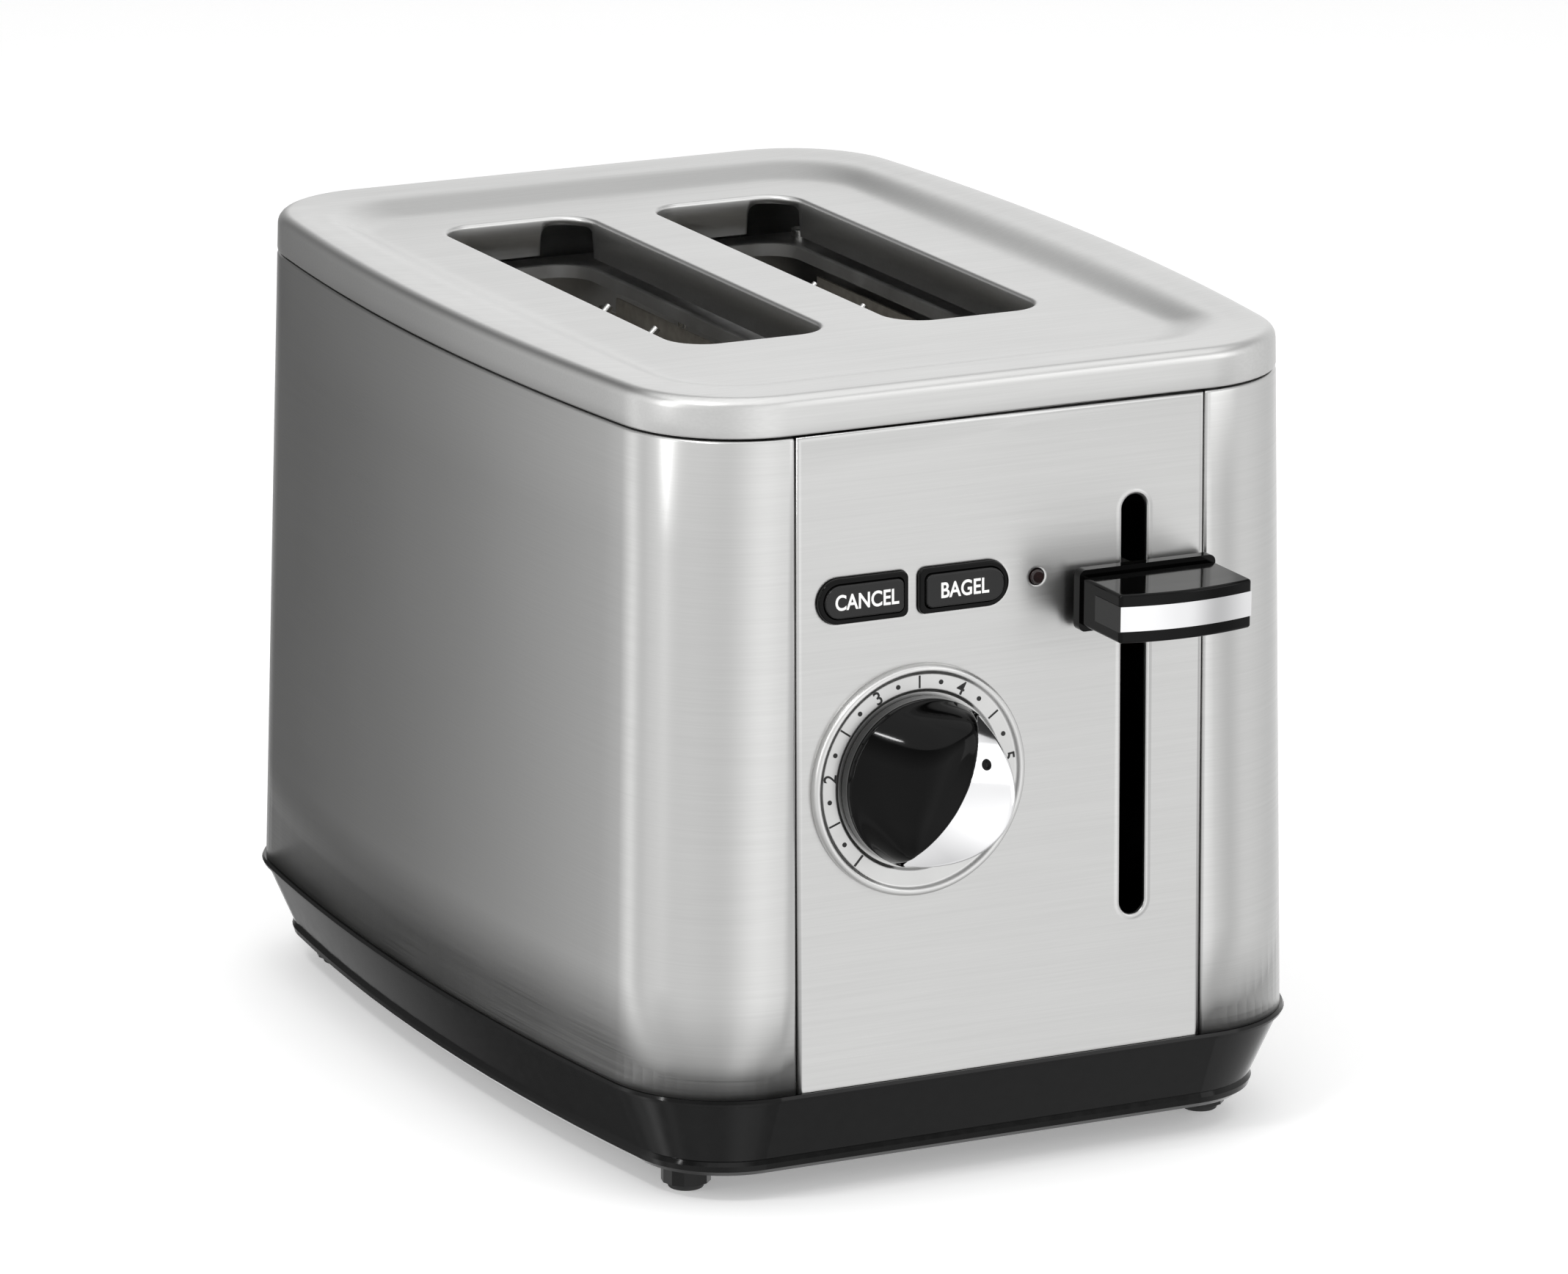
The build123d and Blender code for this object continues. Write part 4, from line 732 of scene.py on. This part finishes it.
def panel_matrix(middle, out, spin=0.0):
    """Where the panel's own X, Y and Z go, from a middle on the panel, in metres."""
    origin = Vector(on_panel(middle[0], middle[1], out)) * MM
    up = Vector((0, math.sin(lean_angle), math.cos(lean_angle)))
    frame_turn = Matrix((Vector((1, 0, 0)), up, Vector((1, 0, 0)).cross(up))).transposed().to_4x4()
    return Matrix.Translation(origin) @ frame_turn @ Matrix.Rotation(spin, 4, "Z")


marks = made_of("dial_marks", tree, {
    "Marks": 4 * (number_count - 1) + 1, "First angle": math.radians(first_number),
    "Step": math.radians(number_step / 4), "Radius": mark_radius * MM, "Dot radius": 0.55 * MM,
    "Tick length": 2.9 * MM, "Tick width": 0.42 * MM, "Ink": 0.06 * MM},
    ink, "chassis", panel_matrix(dial_at, print_out))


def lettering(name, words, height, place, finish, body, narrow=1.0, thickness=0.04, heavy=0.0):
    """Flat printed words, centred on a place, as a mesh."""
    text = bpy.data.curves.new(name, "FONT")
    text.body, text.align_x, text.align_y = words, "CENTER", "CENTER"
    text.size, text.extrude, text.offset = height * MM, thickness * MM, heavy * MM
    carrier = bpy.data.objects.new(name + "_text", text)
    bpy.context.scene.collection.objects.link(carrier)
    mesh = bpy.data.meshes.new_from_object(carrier.evaluated_get(bpy.context.evaluated_depsgraph_get()))
    bpy.data.objects.remove(carrier)
    spots = [v.co for v in mesh.vertices]
    middle = [(min(s[i] for s in spots) + max(s[i] for s in spots)) / 2 for i in (0, 1)]
    centred = Matrix.Translation((-middle[0], -middle[1], 0))
    mesh.transform(place @ Matrix.Diagonal((narrow, 1, 1, 1)) @ centred)
    mesh.materials.clear()
    mesh.materials.append(finish)
    piece = bpy.data.objects.new(name, mesh)
    bpy.context.scene.collection.objects.link(piece)
    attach(piece, body)
    return piece


number_height = 4.4
for number in range(1, number_count + 1):
    angle = math.radians(first_number + (number - 1) * number_step)
    spot = (dial_at[0] + mark_radius * math.cos(angle), dial_at[1] + mark_radius * math.sin(angle))
    upright = panel_matrix(spot, print_out, angle - math.pi / 2)
    lettering(f"dial_number_{number}", str(number), number_height, upright, ink, "chassis",
              narrow=0.95, heavy=0.04)

# ---- Dial knob
# Piano-black moulded grip: a slope up to a lens-shaped crest, with a bright plated half-moon let in
# on its other side, and a small black pointer on that. All ride on the shaft, and turn with it.
knob_radius, knob_low, knob_turn, half_moon_edge = 19.3, 0.9, math.radians(-30), 4.6
crest_height, slope_foot, crest_fall, lens_reach, lens_left, lens_right = 18.4, 5.0, 0.012, 15.0, 2.6, 2.4
slope_power, wall_steepness, end_start, end_length, rim_fall = 1.7, 3.6, 8, 10, 1.5


def on_knob(u, v, out):
    """A place on the knob, by its own turned axes and the height above the panel."""
    return on_panel(dial_at[0] + u * math.cos(knob_turn) - v * math.sin(knob_turn),
                    dial_at[1] + u * math.sin(knob_turn) + v * math.cos(knob_turn), out)


def lower_of(a, b, blend):
    """The lower of two heights, with a soft edge between them."""
    return -blend * math.log(math.exp(-a / blend) + math.exp(-b / blend))


def grip_height(u, v):
    """How high the grip is: a slope, a crest that narrows to its ends, a steep wall, lowered at the rim."""
    lens = max(0.0, 1 - (v / lens_reach) ** 2)
    crest = crest_height - crest_fall * v * v
    left = -math.sqrt(max(0.01, knob_radius ** 2 - v * v))
    rise = (u - left) / (-lens_left * lens - left)
    slope = slope_foot + (crest - slope_foot) * (1 - max(0.0, 1 - rise) ** slope_power)
    wall = crest - wall_steepness * (u - lens_right * lens)
    height = lower_of(lower_of(slope, crest, 0.35), wall, 0.5)
    end = smooth(min(1, max(0, (abs(v) - end_start) / end_length)))
    from_rim = knob_radius - math.hypot(u, v)
    drop = end * math.exp(-max(0, from_rim) / rim_fall)
    return max(knob_low + 2, height - (height - slope_foot) * max(0, drop))


grip_rows, grip_reach = 60, 87
grip_steps = [0, 0.004, 0.012, 0.024] + [0.04 + 0.96 * k / 60 for k in range(61)]
rows = []
for k in range(grip_rows + 1):
    v = knob_radius * math.sin(math.radians(-grip_reach + 2 * grip_reach * k / grip_rows))
    left = -math.sqrt(knob_radius ** 2 - v * v)
    right = min(half_moon_edge - 0.05, -left)
    across = [(left + (right - left) * s) for s in grip_steps]
    top = [(u, grip_height(u, v)) for u in across]
    edge = [(left, knob_low), (left, top[0][1] - 0.9), (left + 0.02, top[0][1] - 0.35)]
    rows.append([on_knob(u, v, out) for u, out in edge + top[1:] + [(right, knob_low)]])
for end, row in ((-1, rows[0]), (1, rows[-1])):
    rows.insert(0 if end < 0 else len(rows), [on_knob(0, end * knob_radius * 0.9995, knob_low)] * len(row))
make_piece("knob_grip", *bridge(rows), gloss_black, "browning_dial", "dial_knob_cap")


moon_foot, moon_rise, moon_curl, moon_fall, moon_lip = 10.6, 0.6, 1.6, 0.021, 0.8


def half_moon_height(u, v):
    """How high the half-moon is: it curls up to the rim, and falls to both its ends."""
    t = (u - half_moon_edge) / (knob_radius - half_moon_edge)
    return moon_foot + moon_rise * t + moon_curl * t * t - moon_fall * v * v


rows = []
moon_rows, moon_angle, moon_steps, lip_steps = 48, 86, 14, 5
moon_reach = math.sqrt(knob_radius ** 2 - half_moon_edge ** 2)
for k in range(moon_rows + 1):
    v = moon_reach * math.sin(math.radians(-moon_angle + 2 * moon_angle * k / moon_rows))
    right = math.sqrt(knob_radius ** 2 - v * v)
    width = right - half_moon_edge
    lip = min(moon_lip, 0.3 * width)
    across = [half_moon_edge + (width - lip) * s / moon_steps for s in range(1, moon_steps + 1)]
    top = [(u, half_moon_height(u, v)) for u in [half_moon_edge] + across]
    last = top[-1][1]
    top += [(right - lip + lip * math.sin(a), last - lip * (1 - math.cos(a)))
            for a in (math.pi / 2 * j / lip_steps for j in range(1, lip_steps + 1))]
    rows.append([on_knob(u, v, out) for u, out in [(half_moon_edge, knob_low)] + top + [(right, knob_low)]])
for end, row in ((-1, rows[0]), (1, rows[-1])):
    rows.insert(0 if end < 0 else len(rows), [on_knob(half_moon_edge, end * moon_reach, knob_low)] * len(row))
make_piece("knob_half_moon", *bridge(rows), chrome, "browning_dial", "dial_knob_band")
pointer_u, pointer_v, pointer_radius, pointer_sides = 9.1, 9.7, 1.0, 24
pointer_rows = []
for r, out in ((pointer_radius + 0.25, -0.2), (pointer_radius + 0.2, 0.16), (pointer_radius, 0.2),
               (pointer_radius * 0.8, 0.08), (0.01, 0.02)):
    ring = [(pointer_u + r * math.cos(a), pointer_v + r * math.sin(a))
            for a in (2 * math.pi * k / pointer_sides for k in range(pointer_sides))]
    pointer_rows.append([on_knob(u, v, half_moon_height(u, v) + out) for u, v in ring])
pointer = make_piece("knob_pointer", *bridge(pointer_rows), gloss_black, "browning_dial", None)

# ---- Buttons
# Two caps moulded in black ABS, each in a black frame clipped into the front panel. Their words are
# pad-printed in white, and ride on the caps when they are pressed.
# Pad-printed ink: an even white that hides the black under it.
print_white, tree, shader = new_material("white_pad_print")
shader.inputs["Base Color"].default_value = linear("#f2f2f0")
shader.inputs["Roughness"].default_value = 0.45
button_face, word_height = 1.72, 4.9
for words, middle, body in (("CANCEL", (-34.6, cancel_at[1]), "cancel_key"),
                            ("BAGEL", (-10.2, bagel_at[1]), "bagel_key")):
    lettering(words.lower() + "_word", words, word_height, panel_matrix(middle, button_face), print_white,
              body, narrow=0.84, heavy=0.09)

# ---- Lever handle's side
# The handle is moulded in black ABS, with a chrome-plated band let into its front. On the handle's left
# side the band ends in a shallow moulded recess, which is added here as a thin black plate.
band_low, band_high = (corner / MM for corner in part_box("lever_band"))
side_left, side_right = band_low.x - 0.12, band_low.x + 0.1
side_front, side_back = band_low.y + 2.2, band_high.y + 0.2
outline = [(side_left, side_front), (side_right, side_front), (side_right, side_back), (side_left, side_back)]
rows = [[(x, y, z) for x, y in outline] for z in (band_low.z - 0.1, band_high.z + 0.1)]
points, faces = bridge(rows)
ends = [(3, 2, 1, 0), (4, 5, 6, 7)]
recess = make_piece("handle_recess", points, faces + ends, button_black, "lever_carriage", None)
recess.data.shade_flat()

# ---- Return spring
# A compression spring of plated wire round the guide rod, between the base's seat and the carriage
# bush. The real one is squeezed when the lever goes down; this one is made at one length, on the chassis.
spring_low, spring_high = (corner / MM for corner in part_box("return_spring"))
spring_wire = 0.5
spring_radius = (spring_high.x - spring_low.x) / 2 - spring_wire
tree, given, result = new_tree("round_wire_helix", {
    "Turns": ("NodeSocketFloat", 1.0), "Steps": ("NodeSocketInt", 16),
    "Coil radius": ("NodeSocketFloat", 0.0), "Height": ("NodeSocketFloat", 0.0),
    "Wire radius": ("NodeSocketFloat", 0.0)})
helix = add(tree, "GeometryNodeCurveSpiral", {
    "Resolution": given.outputs["Steps"], "Rotations": given.outputs["Turns"],
    "Start Radius": given.outputs["Coil radius"], "End Radius": given.outputs["Coil radius"],
    "Height": given.outputs["Height"]})
section = add(tree, "GeometryNodeCurvePrimitiveCircle", {"Resolution": 10,
                                                         "Radius": given.outputs["Wire radius"]})
swept = add(tree, "GeometryNodeCurveToMesh", {
    "Curve": helix.outputs[0], "Profile Curve": section.outputs[0], "Fill Caps": True})
smoothed = add(tree, "GeometryNodeSetShadeSmooth", {"Geometry": swept.outputs[0]})
real = add(tree, "GeometryNodeRealizeInstances", {"Geometry": smoothed.outputs[0]})
finished = add(tree, "GeometryNodeSetMaterial", {"Geometry": real.outputs[0], "Material": wire})
tree.links.new(finished.outputs[0], result.inputs[0])
spring_middle = (spring_low + spring_high) / 2
spring_foot = Vector((spring_middle.x, spring_middle.y, spring_low.z + spring_wire))
spring = made_of("lift_spring", tree, {
    "Turns": 17.0, "Steps": 24, "Coil radius": spring_radius * MM,
    "Height": (spring_high.z - spring_low.z - 2 * spring_wire) * MM, "Wire radius": spring_wire * MM},
    wire, "chassis", Matrix.Translation(spring_foot * MM))
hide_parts("return_spring")
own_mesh(spring)

# ---- Electromagnet winding
# Enamelled copper wire wound on the moulded coil former, which holds the lever down while it toasts.
# Only the outer layer is made: closed turns laid one above the other, half sunk in the former.
coil_low, coil_high = (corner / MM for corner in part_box("electromagnet_coil"))
turn_wire, turn_sink, turn_corner, end_gap = 0.42, 0.2, 1.3, 0.7
tree, given, result = new_tree("stacked_turns", {
    "Turns": ("NodeSocketInt", 1), "Pitch": ("NodeSocketFloat", 0.0), "Width": ("NodeSocketFloat", 0.0),
    "Depth": ("NodeSocketFloat", 0.0), "Corner": ("NodeSocketFloat", 0.0),
    "Wire radius": ("NodeSocketFloat", 0.0)})
loop = add(tree, "GeometryNodeCurvePrimitiveQuadrilateral", {"Width": given.outputs["Width"],
                                                             "Height": given.outputs["Depth"]})
rounded = add(tree, "GeometryNodeFilletCurve", {
    "Curve": loop.outputs[0], "Radius": given.outputs["Corner"], "Count": 4}, mode="POLY")
section = add(tree, "GeometryNodeCurvePrimitiveCircle", {"Resolution": 8,
                                                         "Radius": given.outputs["Wire radius"]})
turn_mesh = add(tree, "GeometryNodeCurveToMesh", {"Curve": rounded.outputs[0],
                                                  "Profile Curve": section.outputs[0]})
rise = add(tree, "ShaderNodeCombineXYZ", {"Z": given.outputs["Pitch"]})
stack = add(tree, "GeometryNodeMeshLine", {"Count": given.outputs["Turns"], "Offset": rise.outputs[0]})
turns = add(tree, "GeometryNodeInstanceOnPoints", {"Points": stack.outputs[0],
                                                   "Instance": turn_mesh.outputs[0]})
real = add(tree, "GeometryNodeRealizeInstances", {"Geometry": turns.outputs[0]})
smoothed = add(tree, "GeometryNodeSetShadeSmooth", {"Geometry": real.outputs[0]})
finished = add(tree, "GeometryNodeSetMaterial", {"Geometry": smoothed.outputs[0], "Material": copper})
tree.links.new(finished.outputs[0], result.inputs[0])
turn_air = 0.02
turn_pitch = 2 * turn_wire + turn_air
turn_count = int((coil_high.z - coil_low.z - 2 * end_gap) / turn_pitch)
coil_middle = (coil_low + coil_high) / 2
first_turn = Vector((coil_middle.x, coil_middle.y, coil_low.z + end_gap + turn_wire))
winding = made_of("coil_turns", tree, {
    "Turns": turn_count, "Pitch": turn_pitch * MM, "Width": (coil_high.x - coil_low.x - 2 * turn_sink) * MM,
    "Depth": (coil_high.y - coil_low.y - 2 * turn_sink) * MM, "Corner": turn_corner * MM,
    "Wire radius": turn_wire * MM}, copper, "chassis", Matrix.Translation(first_turn * MM))
